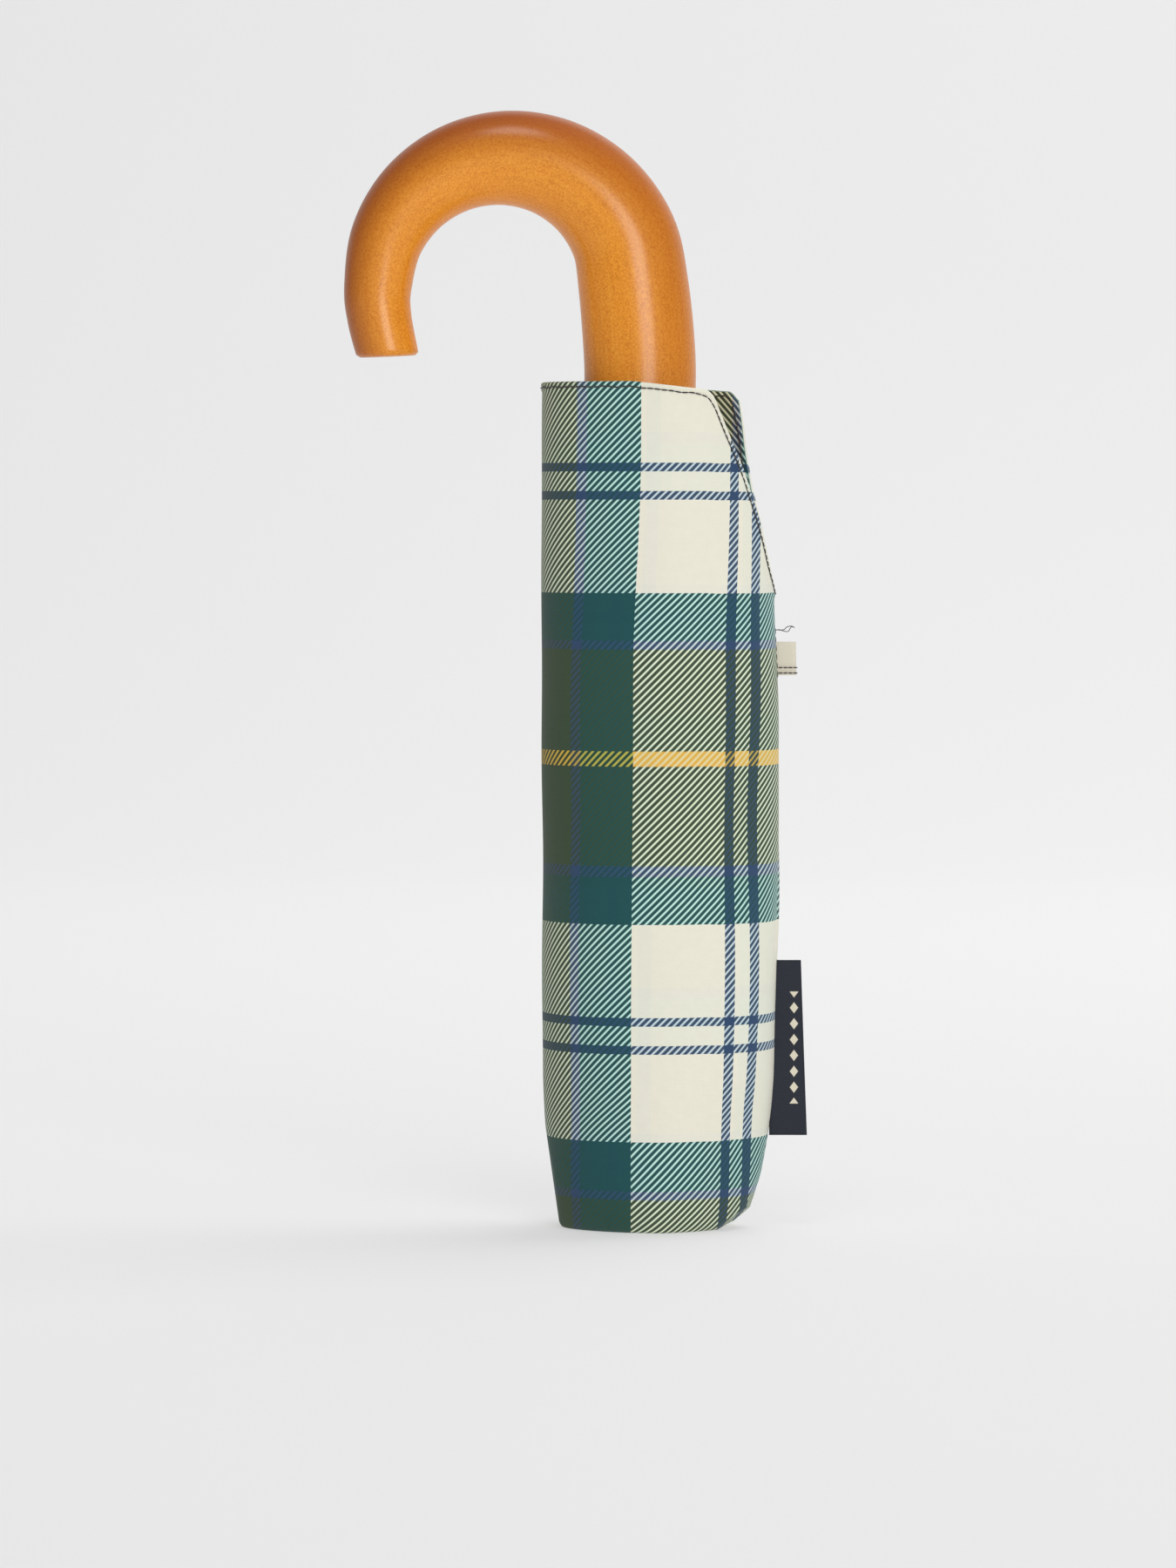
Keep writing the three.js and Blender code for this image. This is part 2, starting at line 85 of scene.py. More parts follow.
# an empty material with its output and a Principled shader, whose constants are set on its own sockets
def newMaterial(name, **constants):
    material = bpy.data.materials.new(name)
    material.use_nodes = True
    tree = material.node_tree
    tree.nodes.clear()
    shader = addNode(tree, "BsdfPrincipled", {k.replace("_", " "): v for k, v in constants.items()})
    addNode(tree, "OutputMaterial", {"Surface": shader.outputs["BSDF"]})
    return material, tree, shader


# distance walked along a line of points, from its first
def walkedLine(line):
    return np.concatenate(([0], np.cumsum(np.linalg.norm(np.diff(line, axis=0), axis=1))))


# lowest and highest corner of a CAD node's box
def boxOf(node):
    return tuple(np.array(corner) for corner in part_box(node))


# a smooth curve through the points, resampled at equal steps: a Catmull-Rom spline measured along itself
def smoothPath(points, count):
    p = np.asarray(points, float)
    p = np.vstack((2 * p[0] - p[1], p, 2 * p[-1] - p[-2]))
    t = np.linspace(0, 1, 40, endpoint=False)[None, :, None]
    a, b, c, d = (p[i:len(p) - 3 + i][:, None, :] for i in range(4))
    fine = 0.5 * (2 * b + (c - a) * t + (2 * a - 5 * b + 4 * c - d) * t ** 2
                  + (3 * b - a - 3 * c + d) * t ** 3)
    fine = np.vstack((fine.reshape(-1, p.shape[1]), p[-2]))
    walked = walkedLine(fine)
    steps = np.linspace(0, walked[-1], count)
    return np.stack([np.interp(steps, walked, fine[:, k]) for k in range(p.shape[1])], 1)


# quads between neighbouring rows and columns of a grid; wrapped, the last column joins the first
def gridFaces(rows, columns, wrap):
    r = np.arange(rows - 1)[:, None]
    c = np.arange(columns if wrap else columns - 1)[None, :]
    a = r * columns + c
    b = r * columns + (c + 1) % columns
    return np.stack((a, b, b + columns, a + columns), -1).reshape(-1, 4)


# a smooth-shaded object from a mesh, its equal points merged and its faces turned outwards where wanted
def finishMesh(mesh, merge, outward):
    tidy = bmesh.new()
    tidy.from_mesh(mesh)
    if merge:
        bmesh.ops.remove_doubles(tidy, verts=tidy.verts, dist=1e-6)
    if outward:
        bmesh.ops.recalc_face_normals(tidy, faces=tidy.faces)
    tidy.to_mesh(mesh)
    tidy.free()
    mesh.shade_smooth()
    piece = bpy.data.objects.new(mesh.name, mesh)
    bpy.context.scene.collection.objects.link(piece)
    return piece


# one mesh object from a grid of points (rows, columns, 3). uv has one more column than a wrapped grid.
# Equal points are merged, so rows that shrink to a point become closed poles.
def gridPiece(name, points, wrap=False, uv=None, vectors=None, floats=None, outward=True):
    rows, columns = points.shape[:2]
    faces = gridFaces(rows, columns, wrap)
    mesh = bpy.data.meshes.new(name)
    mesh.from_pydata(points.reshape(-1, 3).tolist(), [], faces.tolist())
    if uv is not None:
        wide = uv.shape[1]
        r, c = np.divmod(np.arange(len(faces)), columns if wrap else columns - 1)
        corner = np.stack((r * wide + c, r * wide + c + 1, (r + 1) * wide + c + 1, (r + 1) * wide + c), 1)
        layer = mesh.uv_layers.new(name="clothUv")
        layer.data.foreach_set("uv", uv.reshape(-1, 2)[corner.ravel()].astype(np.float32).ravel())
    for key, values in (vectors or {}).items():
        data = mesh.attributes.new(key, "FLOAT_VECTOR", "POINT").data
        data.foreach_set("vector", values.reshape(-1, 3).astype(np.float32).ravel())
    for key, values in (floats or {}).items():
        data = mesh.attributes.new(key, "FLOAT", "POINT").data
        data.foreach_set("value", values.astype(np.float32).ravel())
    return finishMesh(mesh, merge=True, outward=outward)


# gives a piece its material and its body and hides the CAD nodes that it stands for; its slot name is not
# used
def finishPiece(piece, material, body, slotName, *nodes):
    piece.data.materials.append(material)
    if body:
        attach(piece, body)
    if nodes:
        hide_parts(*nodes)
    return piece


# adds one modifier with its settings
def addModifier(piece, kind, **settings):
    modifier = piece.modifiers.new(kind.title(), kind)
    for key, value in settings.items():
        setattr(modifier, key, value)
    return modifier


# rings of a profile (radius, height) turned about the Z axis through a centre
def turnedGrid(profile, sides, centre=(0, 0)):
    profile = np.asarray(profile, float)
    angle = np.linspace(0, 2 * math.pi, sides, endpoint=False)
    x = centre[0] + profile[:, :1] * np.cos(angle)
    y = centre[1] + profile[:, :1] * np.sin(angle)
    return np.stack((x, y, np.repeat(profile[:, 1:], sides, 1)), -1)


# rings of a round section carried along a path; every ring stands across the path's direction
def sweptGrid(path, radii, sides, reference=(0, 1, 0)):
    along = np.gradient(path, axis=0)
    along /= np.linalg.norm(along, axis=1)[:, None]
    first = np.cross(along, np.asarray(reference, float))
    first /= np.linalg.norm(first, axis=1)[:, None]
    second = np.cross(along, first)
    angle = np.linspace(0, 2 * math.pi, sides, endpoint=False)[None, :, None]
    radii = np.broadcast_to(radii, len(path))[:, None, None]
    return path[:, None] + radii * (first[:, None] * np.cos(angle) + second[:, None] * np.sin(angle))


# puts a collapsed ring at both ends of a grid, which closes it
def closeEnds(grid):
    start = np.repeat(grid[:1].mean(1, keepdims=True), grid.shape[1], 1)
    end = np.repeat(grid[-1:].mean(1, keepdims=True), grid.shape[1], 1)
    return np.concatenate((start, grid, end))


# a soft uneven field, mostly from -1 to 1: a few sine waves of seeded directions and lengths, added up
def softField(x, y, seed, waves=7, gain=1.6):
    random = np.random.default_rng(seed)
    turn, scale, phase = random.uniform(0, 2 * math.pi, (3, waves))
    total = np.zeros(np.broadcast(x, y).shape)
    for i in range(waves):
        step = 0.6 + scale[i] / 3
        total += np.sin(step * (np.cos(turn[i]) * x + np.sin(turn[i]) * y) + phase[i])
    return total / waves * gain


# a smooth step from 0 to 1: 3 t squared less 2 t cubed
def ease(share):
    share = np.clip(share, 0, 1)
    return share * share * (3 - 2 * share)


view = dict(side=-0.0142, distance=1.80, height=0.200, aimHeight=0.1224, frameHeight=0.432)


# a camera in front of the object, its lens set so that the frame is as tall as wanted where it aims
def makeCamera():
    data = bpy.data.cameras.new("studioCamera")
    camera = bpy.data.objects.new("studioCamera", data)
    bpy.context.scene.collection.objects.link(camera)
    camera.location = (view["side"], -view["distance"], view["height"])
    aim = Vector((view["side"], 0, view["aimHeight"])) - camera.location
    camera.rotation_euler = aim.to_track_quat("-Z", "Y").to_euler()
    data.sensor_fit = "VERTICAL"
    data.sensor_height = 24
    data.lens = data.sensor_height * aim.length / view["frameHeight"]
    data.clip_end = 50
    bpy.context.scene.camera = camera


studio = dict(
    floorColour="#a6a6a6", floorGlow=0.46, floorFront=9.0, halfWidth=5.0,
    wallDistance=1.6, curveRadius=0.9, wallHeight=4.0,
    worldColour="#f4f4f4", worldStrength=0.28,
    keyPower=4.2, keySpread=90, keyPlace=(0.55, -1.75, 0.46), keySize=0.95,
    fillPower=3.6, fillPlace=(-0.08, -0.50, 1.55), fillSize=0.5,
    rearPower=3, rearPlace=(0.5, 1.5, 1.3), rearSize=1.0,
    wallPower=43, wallPlace=(1.1, 0.9, 2.4), wallSize=2.2,
    objectAim=(0, 0, 0.15), wallAim=(0.1, 2.3, 0.55),
)


# Floor that curves up into a wall: a straight run, a quarter circle and a straight rise, carried sideways.
# The key is a narrow beam from the front right, the fill hangs overhead, and the wall light is for the paper.
def makeStudio():
    s = studio
    angle = np.linspace(0, math.pi / 2, 24)
    curveY = s["wallDistance"] + s["curveRadius"] * np.sin(angle)
    curveZ = s["curveRadius"] * (1 - np.cos(angle))
    y = np.concatenate(([-s["floorFront"], 0.0], curveY, [curveY[-1]]))
    z = np.concatenate(([0.0, 0.0], curveZ, [s["wallHeight"]]))
    x = np.linspace(-s["halfWidth"], s["halfWidth"], 5)
    grid = np.stack(np.broadcast_arrays(x[None, :], y[:, None], z[:, None]), -1)
    paper = newMaterial("mattBackgroundPaper", Roughness=0.95, Emission_Strength=s["floorGlow"],
                        Base_Color=linearColour(s["floorColour"]))[0]
    floor = gridPiece("studioFloor", grid, outward=False)
    floor.data.materials.append(paper)
    world = bpy.data.worlds.new("studioWorld")
    world.use_nodes = True
    background = world.node_tree.nodes["Background"]
    background.inputs["Color"].default_value = linearColour(s["worldColour"])
    background.inputs["Strength"].default_value = s["worldStrength"]
    bpy.context.scene.world = world
    for name in ("key", "fill", "rear", "wall"):
        light = bpy.data.lights.new(name + "Softbox", "AREA")
        light.shape = "DISK"
        light.size = s[name + "Size"]
        light.energy = s[name + "Power"]
        light.spread = math.radians(s["keySpread"] if name == "key" else 180)
        lamp = bpy.data.objects.new(name + "Softbox", light)
        lamp.location = s[name + "Place"]
        lit = Vector(s["wallAim" if name == "wall" else "objectAim"]) - lamp.location
        lamp.rotation_euler = lit.to_track_quat("-Z", "Y").to_euler()
        lamp.visible_camera = False
        lamp.visible_glossy = name in ("key", "fill")
        bpy.context.scene.collection.objects.link(lamp)
    bpy.context.scene.view_settings.view_transform = "Standard"


makeCamera()
makeStudio()
print("camera, floor and lights are in place")


tartan = dict(
    cream="#e9e6da", teal="#275053", olive="#404e3d", navy="#3c506a", yellow="#e3b251",
    across=[("cream", 25.9), ("navy", 3.4), ("cream", 5.1), ("navy", 3.6), ("cream", 25.9), ("teal", 15.8),
            ("navy", 2.8), ("olive", 29.0), ("yellow", 4.6), ("olive", 29.0), ("navy", 2.8), ("teal", 15.8)],
    upward=[("cream", 25.0), ("navy", 2.7), ("cream", 4.9), ("navy", 2.7), ("cream", 24.9), ("teal", 13.3),
            ("navy", 2.6), ("olive", 27.3), ("yellow", 4.3), ("olive", 27.3), ("navy", 2.6), ("teal", 13.3)],
    twillPitch=1.97,    # millimetres between printed stripes, measured level or upright
    bleed=0.32,         # how strongly a stripe is tinted by the colour that it crosses
    spreadOfDark=0.08,  # how much wider dark stripes print than light ones
    ghost=0.2, ghostShift=33.0,    # print of the layer behind, faintly through: its strength and shift
    mottle=(0.985, 1.012),         # darkest and lightest of the cloth's slow unevenness
)


# band colours along one direction: the coordinate over the whole repeat, its whole part dropped, looked up in
# stepped stops. As a tint, each colour is brought to full brightness and raised to the bleed power.
def bandRamp(tree, coordinate, bands, tint=False):
    whole = sum(width for _, width in bands)
    turns = addNode(tree, "Math", {0: coordinate, 1: whole}, operation="DIVIDE")
    share = addNode(tree, "Math", {0: turns.outputs[0]}, operation="FRACT")
    ramp = addNode(tree, "ValToRGB", {"Fac": share.outputs[0]})
    ramp.color_ramp.interpolation = "CONSTANT"
    at = 0.0
    for number, (name, width) in enumerate(bands):
        stops = ramp.color_ramp.elements
        stop = stops[number] if number < len(stops) else stops.new(at / whole)
        stop.position = at / whole
        colour = np.array(linearColour(tartan[name]))
        if tint:
            colour = (colour / colour[:3].max()) ** tartan["bleed"]
            colour[3] = 1
        stop.color = colour
        at += width
    return ramp.outputs["Color"]


# a value that runs up and down along a coordinate, the given number of times in each unit, with soft edges
def stripes(tree, coordinate, cycles, edge, low=0.25, lean=None):
    phase = addNode(tree, "Math", {0: coordinate, 1: cycles}, operation="MULTIPLY")
    folded = addNode(tree, "Math", {0: phase.outputs[0], 1: 0.5}, operation="PINGPONG")
    if lean:
        folded = addNode(tree, "Math", {0: lean[0], 1: lean[1], 2: folded.outputs[0]},
                         operation="MULTIPLY_ADD")
    sharp = addNode(tree, "MapRange", {"Value": folded.outputs[0], "From Min": low - edge,
                                       "From Max": low + edge})
    return sharp.outputs["Result"]


# Plain woven cloth with a screen printed tartan: matt and close. The two directions' bands alternate along
# 45 degree stripes, so equal colours stay solid, and a stripe takes a tint of the colour that it crosses.
def tartanMaterial(name, roughness, sheen, weavePitch, weaveDepth):
    material, tree, shader = newMaterial(name, Roughness=roughness, Sheen_Weight=sheen,
                                         Sheen_Roughness=0.5, Specular_IOR_Level=0.25)
    place = addNode(tree, "UVMap", uv_map="clothUv")
    split = addNode(tree, "SeparateXYZ", {0: place.outputs["UV"]})
    across, up = split.outputs["X"], split.outputs["Y"]    # both in millimetres of cloth
    slant = addNode(tree, "Math", {0: across, 1: up}, operation="SUBTRACT").outputs[0]
    shown, brightness = [], []
    for own, ownBands, other, otherBands in ((across, "across", up, "upward"),
                                             (up, "upward", across, "across")):
        colour = bandRamp(tree, own, tartan[ownBands])
        tint = bandRamp(tree, other, tartan[otherBands], tint=True)
        shown.append(addNode(tree, "Mix", {"Factor": 1.0, 6: colour, 7: tint}, data_type="RGBA",
                             blend_type="MULTIPLY").outputs[2])
        brightness.append(addNode(tree, "RGBToBW", {"Color": colour}).outputs[0])
    darker = addNode(tree, "Math", {0: brightness[0], 1: brightness[1]}, operation="SUBTRACT").outputs[0]
    mask = stripes(tree, slant, 1 / tartan["twillPitch"], 0.05, lean=(darker, tartan["spreadOfDark"]))
    woven = addNode(tree, "Mix", {"Factor": mask, 6: shown[0], 7: shown[1]}, data_type="RGBA")
    mottle = addNode(tree, "TexNoise", {"Vector": place.outputs["UV"], "Scale": 0.35, "Detail": 6.0})
    darkest, lightest = tartan["mottle"]
    shade = addNode(tree, "MapRange", {"Value": mottle.outputs["Fac"], "From Min": 0.3, "From Max": 0.7,
                                       "To Min": darkest, "To Max": lightest})
    ghosts = []
    for own, ownBands in ((across, "across"), (up, "upward")):
        moved = addNode(tree, "Math", {0: own, 1: tartan["ghostShift"]}, operation="ADD").outputs[0]
        ghosts.append(bandRamp(tree, moved, tartan[ownBands], tint=True))
    ghost = addNode(tree, "Mix", {"Factor": 0.5, 6: ghosts[0], 7: ghosts[1]}, data_type="RGBA").outputs[2]
    seen = addNode(tree, "Mix", {"Factor": tartan["ghost"], 6: woven.outputs[2], 7: ghost}, data_type="RGBA",
                   blend_type="MULTIPLY")
    toned = addNode(tree, "HueSaturation", {"Color": seen.outputs[2], "Value": shade.outputs[0]})
    tree.links.new(toned.outputs["Color"], shader.inputs["Base Color"])
    ridgeA = stripes(tree, across, 1 / weavePitch, 0.25)
    ridgeB = stripes(tree, up, 1 / weavePitch, 0.25)
    weave = addNode(tree, "Math", {0: ridgeA, 1: ridgeB}, operation="MULTIPLY")
    bump = addNode(tree, "Bump", {"Height": weave.outputs[0], "Distance": weaveDepth, "Strength": 0.5})
    tree.links.new(bump.outputs["Normal"], shader.inputs["Normal"])
    return material


sleeveCloth = tartanMaterial("printedCottonTwill", 0.92, 0.12, 0.62, 0.00006)
canopyCloth = tartanMaterial("printedPongeePolyester", 0.62, 0.08, 0.45, 0.00002)


# Sewing thread: twisted polyester, slightly glossy, with the ply showing as fine slanted bands
def threadMaterial(name, colour):
    material, tree, shader = newMaterial(name, Roughness=0.6, Sheen_Weight=0.3)
    place = addNode(tree, "TexCoord")
    ply = addNode(tree, "TexNoise", {"Vector": place.outputs["Object"], "Scale": 2600.0})
    ramp = addNode(tree, "ValToRGB", {"Fac": ply.outputs["Fac"]})
    ramp.color_ramp.elements[0].color = linearColour(colour[0])
    ramp.color_ramp.elements[1].color = linearColour(colour[1])
    tree.links.new(ramp.outputs["Color"], shader.inputs["Base Color"])
    return material


darkThread = threadMaterial("darkPolyesterThread", ("#150f0d", "#2e2420"))


sleeveLow, sleeveHigh = boxOf("sleeve")
sleeve = dict(
    columns=168, wallRows=110, innerRows=60, floorRows=14,
    clothThickness=0.0007, cornerHeight=0.042, foldCorner=0.0056, seamCorner=0.0090, depthCorner=0.0085,
    seamTaper=0.0018, topTaper=0.0014, topTaperStart=0.135, topTaperReach=0.04,
    foldRoundness=2.25, seamRoundness=1.80, baseSharpness=0.5,
    # each base corner is folded in to a plane: its outward direction and its distance, front and back alike
    cornerFolds=(((0.922, 0.253, -0.294), 0.0266), ((-0.985, 0.0965, -0.140), 0.02166),
                 ((0.63, 0.22, -0.745), 0.0152)),
    frontCut=((0.0000, 0.1762), (0.0008, 0.1800), (0.0044, 0.1968), (0.0078, 0.2088), (0.0136, 0.2215),
              (0.0168, 0.2288), (0.0186, 0.2305), (0.0390, 0.2328)),
    backCut=((0.0000, 0.1762), (0.0009, 0.1810), (0.0031, 0.1944), (0.0056, 0.2040), (0.0073, 0.2136),
             (0.0089, 0.2280), (0.0111, 0.2307), (0.0390, 0.2328)),
    underCloth=0.021,       # cloth of the cut that is folded in under the base
    waviness=0.0005,
    pucker=dict(angle=5.62, reach=0.3, strength=1.5, perMetre=62, phase=0.6),    # beside the seam, in front
    keep=0.06,              # share of the sleeve's height that is left when the frame is open
    stitchInset=0.0015, stitchPitch=0.0019, stitchRadius=0.0002, stitchProud=0.00022,
    hemWidth=0.0024, hemProud=0.0003, foldZone=0.16,
    printShift=(5.6, -24.0),    # millimetres, where a cream band starts from the front's middle and the floor
    tilt=((0.155, 0.215, 2.1), (0.02, 0.16, 0.6)),    # print drifting left: from, to, millimetres
    printLift=(1.2, 0.026, 0.010),      # the print sits higher near the base: millimetres, height, reach
    facingShift=34.6,           # millimetres, the same for the turned-in facing, which is seen from its back
)
sleeveMiddle = (sleeveLow[0] + sleeveHigh[0]) / 2
sleeveMouth = sleeveHigh[2]


# how far the base corners have drawn in: all the way at the floor, none above the corner's height
def cornerShare(height):
    rise = np.clip(height / sleeve["cornerHeight"], 0, 1)
    return (1 - rise ** 0.55) ** 1.3


# flattened oval through the sleeve: an ellipse with its own roundness on the fold side and the seam side,
# drawn in towards the floor. The angle is 0 at the seam, and the front is at three quarters of a turn.
def sleeveSection(angle, height, inset):
    s = sleeve
    drawn = cornerShare(height)
    leaning = s["seamTaper"] * (1 - ease(height / (sleeveMouth / 2))) \
        + s["topTaper"] * ease((height - s["topTaperStart"]) / s["topTaperReach"])
    left = sleeveLow[0] + s["foldCorner"] * drawn + inset
    right = sleeveHigh[0] - leaning - s["seamCorner"] * drawn - inset
    halfDepth = sleeveHigh[1] - s["depthCorner"] * drawn - inset
    blunt = 1 - s["baseSharpness"] * drawn / 2
    power = np.where(np.cos(angle) > 0, 2 / s["seamRoundness"], 2 / s["foldRoundness"]) / blunt
    x = sleeveMiddle + np.where(np.cos(angle) > 0, right - sleeveMiddle, sleeveMiddle - left) \
        * np.sign(np.cos(angle)) * np.abs(np.cos(angle)) ** power
    y = halfDepth * np.sign(np.sin(angle)) * np.abs(np.sin(angle)) ** power
    return x, y


# equal steps along the section's outline, as angles, with the distance along it from the front's middle
def sleeveColumns():
    fine = np.linspace(0, 2 * math.pi, 4001)
    x, y = sleeveSection(fine, np.full_like(fine, 0.12), 0)
    walked = np.concatenate(([0], np.cumsum(np.hypot(np.diff(x), np.diff(y)))))
    steps = np.linspace(0, walked[-1], sleeve["columns"] + 1)
    angle = np.interp(steps, walked, fine)
    return angle, steps - np.interp(1.5 * math.pi, fine, walked)


columnAngle, columnReach = sleeveColumns()


# height of the mouth's edge over each angle: level, with the V cut by distance from the seam edge
def mouthHeight(angle):
    x, _ = sleeveSection(angle, np.full_like(angle, 0.2), 0)
    fromSeam = x.max() - x
    front = np.interp(fromSeam, *np.transpose(sleeve["frontCut"]))
    back = np.interp(fromSeam, *np.transpose(sleeve["backCut"]))
    return np.where(np.sin(angle) < 0, front, back)


# soft unevenness of the cloth, outwards, which dies away at the floor
def clothWave(angle, height):
    wave = softField(angle * 2.2, height * 42, 3) + 0.6 * softField(angle * 5, height * 90, 8)
    p = sleeve["pucker"]
    beside = np.exp(-((angle - p["angle"]) / p["reach"]) ** 2)
    wave -= p["strength"] * beside * np.sin(height * p["perMetre"] + p["phase"])
    return sleeve["waviness"] * wave * ease((height - 0.006) / 0.03)


# a point further out than a corner's plane is moved square onto the plane, less the cloth's inset
def foldCorners(points, inset):
    for (outX, outY, outZ), far in sleeve["cornerFolds"]:
        for side in (-1, 1):
            away = np.array([outX, outY * side, outZ])
            beyond = np.clip(points @ away - (far - inset), 0, None)
            points = points - beyond[..., None] * away
    points[..., 2] = np.clip(points[..., 2], 0, None)
    return points


# the sleeve's surface: its section at each height, with the cloth's unevenness, then its corners folded in
def sleevePoints(angle, height, inset, proud=0, wavy=True):
    angle, height = np.broadcast_arrays(angle, height)
    x, y = sleeveSection(angle, height, inset)
    bulge = (clothWave(angle, height) if wavy else 0) + proud
    points = np.stack((x + bulge * np.cos(angle), y + bulge * np.sin(angle), height), -1)
    return foldCorners(points, inset)


# distance along a grid's rows or columns, from its first line
def walkedAlong(points, axis):
    steps = np.linalg.norm(np.diff(points, axis=axis), axis=-1)
    return np.concatenate((np.zeros_like(np.take(steps, [0], axis)), np.cumsum(steps, axis)), axis)


# The print lies straight on the front and on the back, whatever the section's width: distance along the
# section from the front's or the back's own middle, handed over at the two side edges.
def printAcross(points):
    walked = walkedAlong(points[..., :2], 1)
    turn = columnAngle
    frontPlace, backPlace = (int(np.argmin(np.abs(turn - at))) for at in (1.5 * math.pi, 0.5 * math.pi))
    front = walked - walked[:, frontPlace:frontPlace + 1] + columnReach[frontPlace]
    back = walked - walked[:, backPlace:backPlace + 1] + columnReach[backPlace]
    toFront = ease((turn - math.pi) / (2 * sleeve["foldZone"]) + 0.5)
    return (back + (front - back) * toFront) / millimetre


# gives a piece of the sleeve its own copy of its mesh
def crumple(piece):
    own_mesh(piece)


# One closed cloth shell: from the middle of the base out to the corner, up the outside, over the mouth's
# edge, down the inside and back to the middle. The hem is a little proud, with a groove under its stitches.
def makeSleeve():
    s = sleeve
    angle = columnAngle
    mouth = mouthHeight(angle)
    cloth = s["clothThickness"]
    slope = np.gradient(mouth, columnReach)
    steep = np.clip(np.sqrt(1 + slope ** 2), 1, 3)[None, :]
    fromEdge = np.array([0.004, 0.0034, 0.0028, 0.0023, 0.0019, 0.0015, 0.0011, 0.0007, 0.0003])[:, None]
    rise = np.concatenate((np.linspace(0, 0.16, 30) ** 1.35, np.linspace(0.16 ** 1.35, 1, s["wallRows"])[1:]))
    lower = rise[:, None] * (mouth - (fromEdge[0] + 0.0008) * steep)
    hem = mouth - fromEdge * steep
    height = np.vstack((lower, hem))
    depth = (mouth - height) / steep
    proud = s["hemProud"] * (1 - ease((depth - s["hemWidth"]) / 0.0007 + 0.5))
    proud = proud - s["stitchProud"] * np.exp(-((depth - s["stitchInset"]) / 0.0003) ** 2)
    fall = np.linspace(1, 0, s["innerRows"])
    innerHeight = cloth + fall[:, None] * (mouth - 1.4 * cloth)[None, :]
    shares = np.linspace(0, 1, s["floorRows"], endpoint=False)[:, None, None]

    def surface(wavy):
        outer = sleevePoints(angle[None, :], height, 0, proud, wavy)
        lip = sleevePoints(angle, mouth, cloth / 2, s["hemProud"] / 2, wavy)[None]
        inner = sleevePoints(angle[None, :], innerHeight, cloth, 0, wavy)
        base = np.array([(outer[0, :, 0].min() + outer[0, :, 0].max()) / 2, 0, 0])
        under = base + (outer[0] - base) * shares
        over = base + [0, 0, cloth] + (inner[-1] - base - [0, 0, cloth]) * shares[::-1]
        return np.concatenate((under, outer, lip, inner, over))

    grid = surface(True)
    flat = surface(False)
    outside = s["floorRows"] + len(height) + 1
    walked = walkedAlong(flat, 0)
    up = (mouth - (walked[outside - 1] - walked)) / millimetre
    up[outside:] = (mouth - (walked[outside:] - walked[outside - 1])) / millimetre
    across = printAcross(flat)
    shift = s["printShift"]
    for low, high, amount in s["tilt"]:
        across = across + amount * (1 - ease((flat[..., 2] - low) / (high - low)))
    lift, liftHeight, liftReach = s["printLift"]
    up = up - lift * np.exp(-((flat[..., 2] - liftHeight) / liftReach) ** 2)
    uv = np.stack((across + shift[0], up + shift[1]), -1)
    uv[outside:, :, 0] = s["facingShift"] + across[outside:]
    piece = gridPiece("printedSleeve", grid[:, :-1], wrap=True, uv=uv)
    finishPiece(piece, sleeveCloth, "sleeve", "sleeve_print", "sleeve")
    crumple(piece)
    return piece


sleevePiece = makeSleeve()
print("sleeve is made")


# a row of short stitches in one mesh: each is a small bowed tube along the line, sunk at both ends
def stitchGrid(line, outward, radius, pitch, proud):
    walked = walkedLine(line)
    count = int(walked[-1] / pitch)
    starts = (np.arange(count) + 0.1) * walked[-1] / count
    share = np.linspace(0, 1, 6)
    at = starts[:, None] + share * pitch
    centre = np.stack([np.interp(at, walked, line[:, k]) for k in range(3)], -1)
    away = np.stack([np.interp(at, walked, outward[:, k]) for k in range(3)], -1)
    centre += away * (proud * np.sin(share * math.pi) ** 0.5)[None, :, None]
    along = np.gradient(centre, axis=1)
    along /= np.linalg.norm(along, axis=-1, keepdims=True)
    beside = np.cross(along, away)
    beside /= np.linalg.norm(beside, axis=-1, keepdims=True)
    lift = np.cross(beside, along)
    turn = np.linspace(0, 2 * math.pi, 6, endpoint=False)
    thick = radius * np.array([0.45, 0.95, 1, 1, 0.95, 0.45])[None, :, None, None]
    return centre[:, :, None] + thick * (beside[:, :, None] * np.cos(turn)[:, None]
                                         + lift[:, :, None] * np.sin(turn)[:, None])


# joins many equal small grids into one mesh, with a flat face over both ends of each
def manyGrids(name, grids):
    count, rows, columns = grids.shape[:3]
    one = gridFaces(rows, columns, True)
    faces = (np.arange(count)[:, None, None] * rows * columns + one[None]).reshape(-1, 4)
    caps = np.array([np.arange(columns)[::-1], (rows - 1) * columns + np.arange(columns)])
    ends = (np.arange(count)[:, None, None] * rows * columns + caps[None]).reshape(-1, columns)
    mesh = bpy.data.meshes.new(name)
    mesh.from_pydata(grids.reshape(-1, 3).tolist(), [], faces.tolist() + ends.tolist())
    return finishMesh(mesh, merge=False, outward=True)


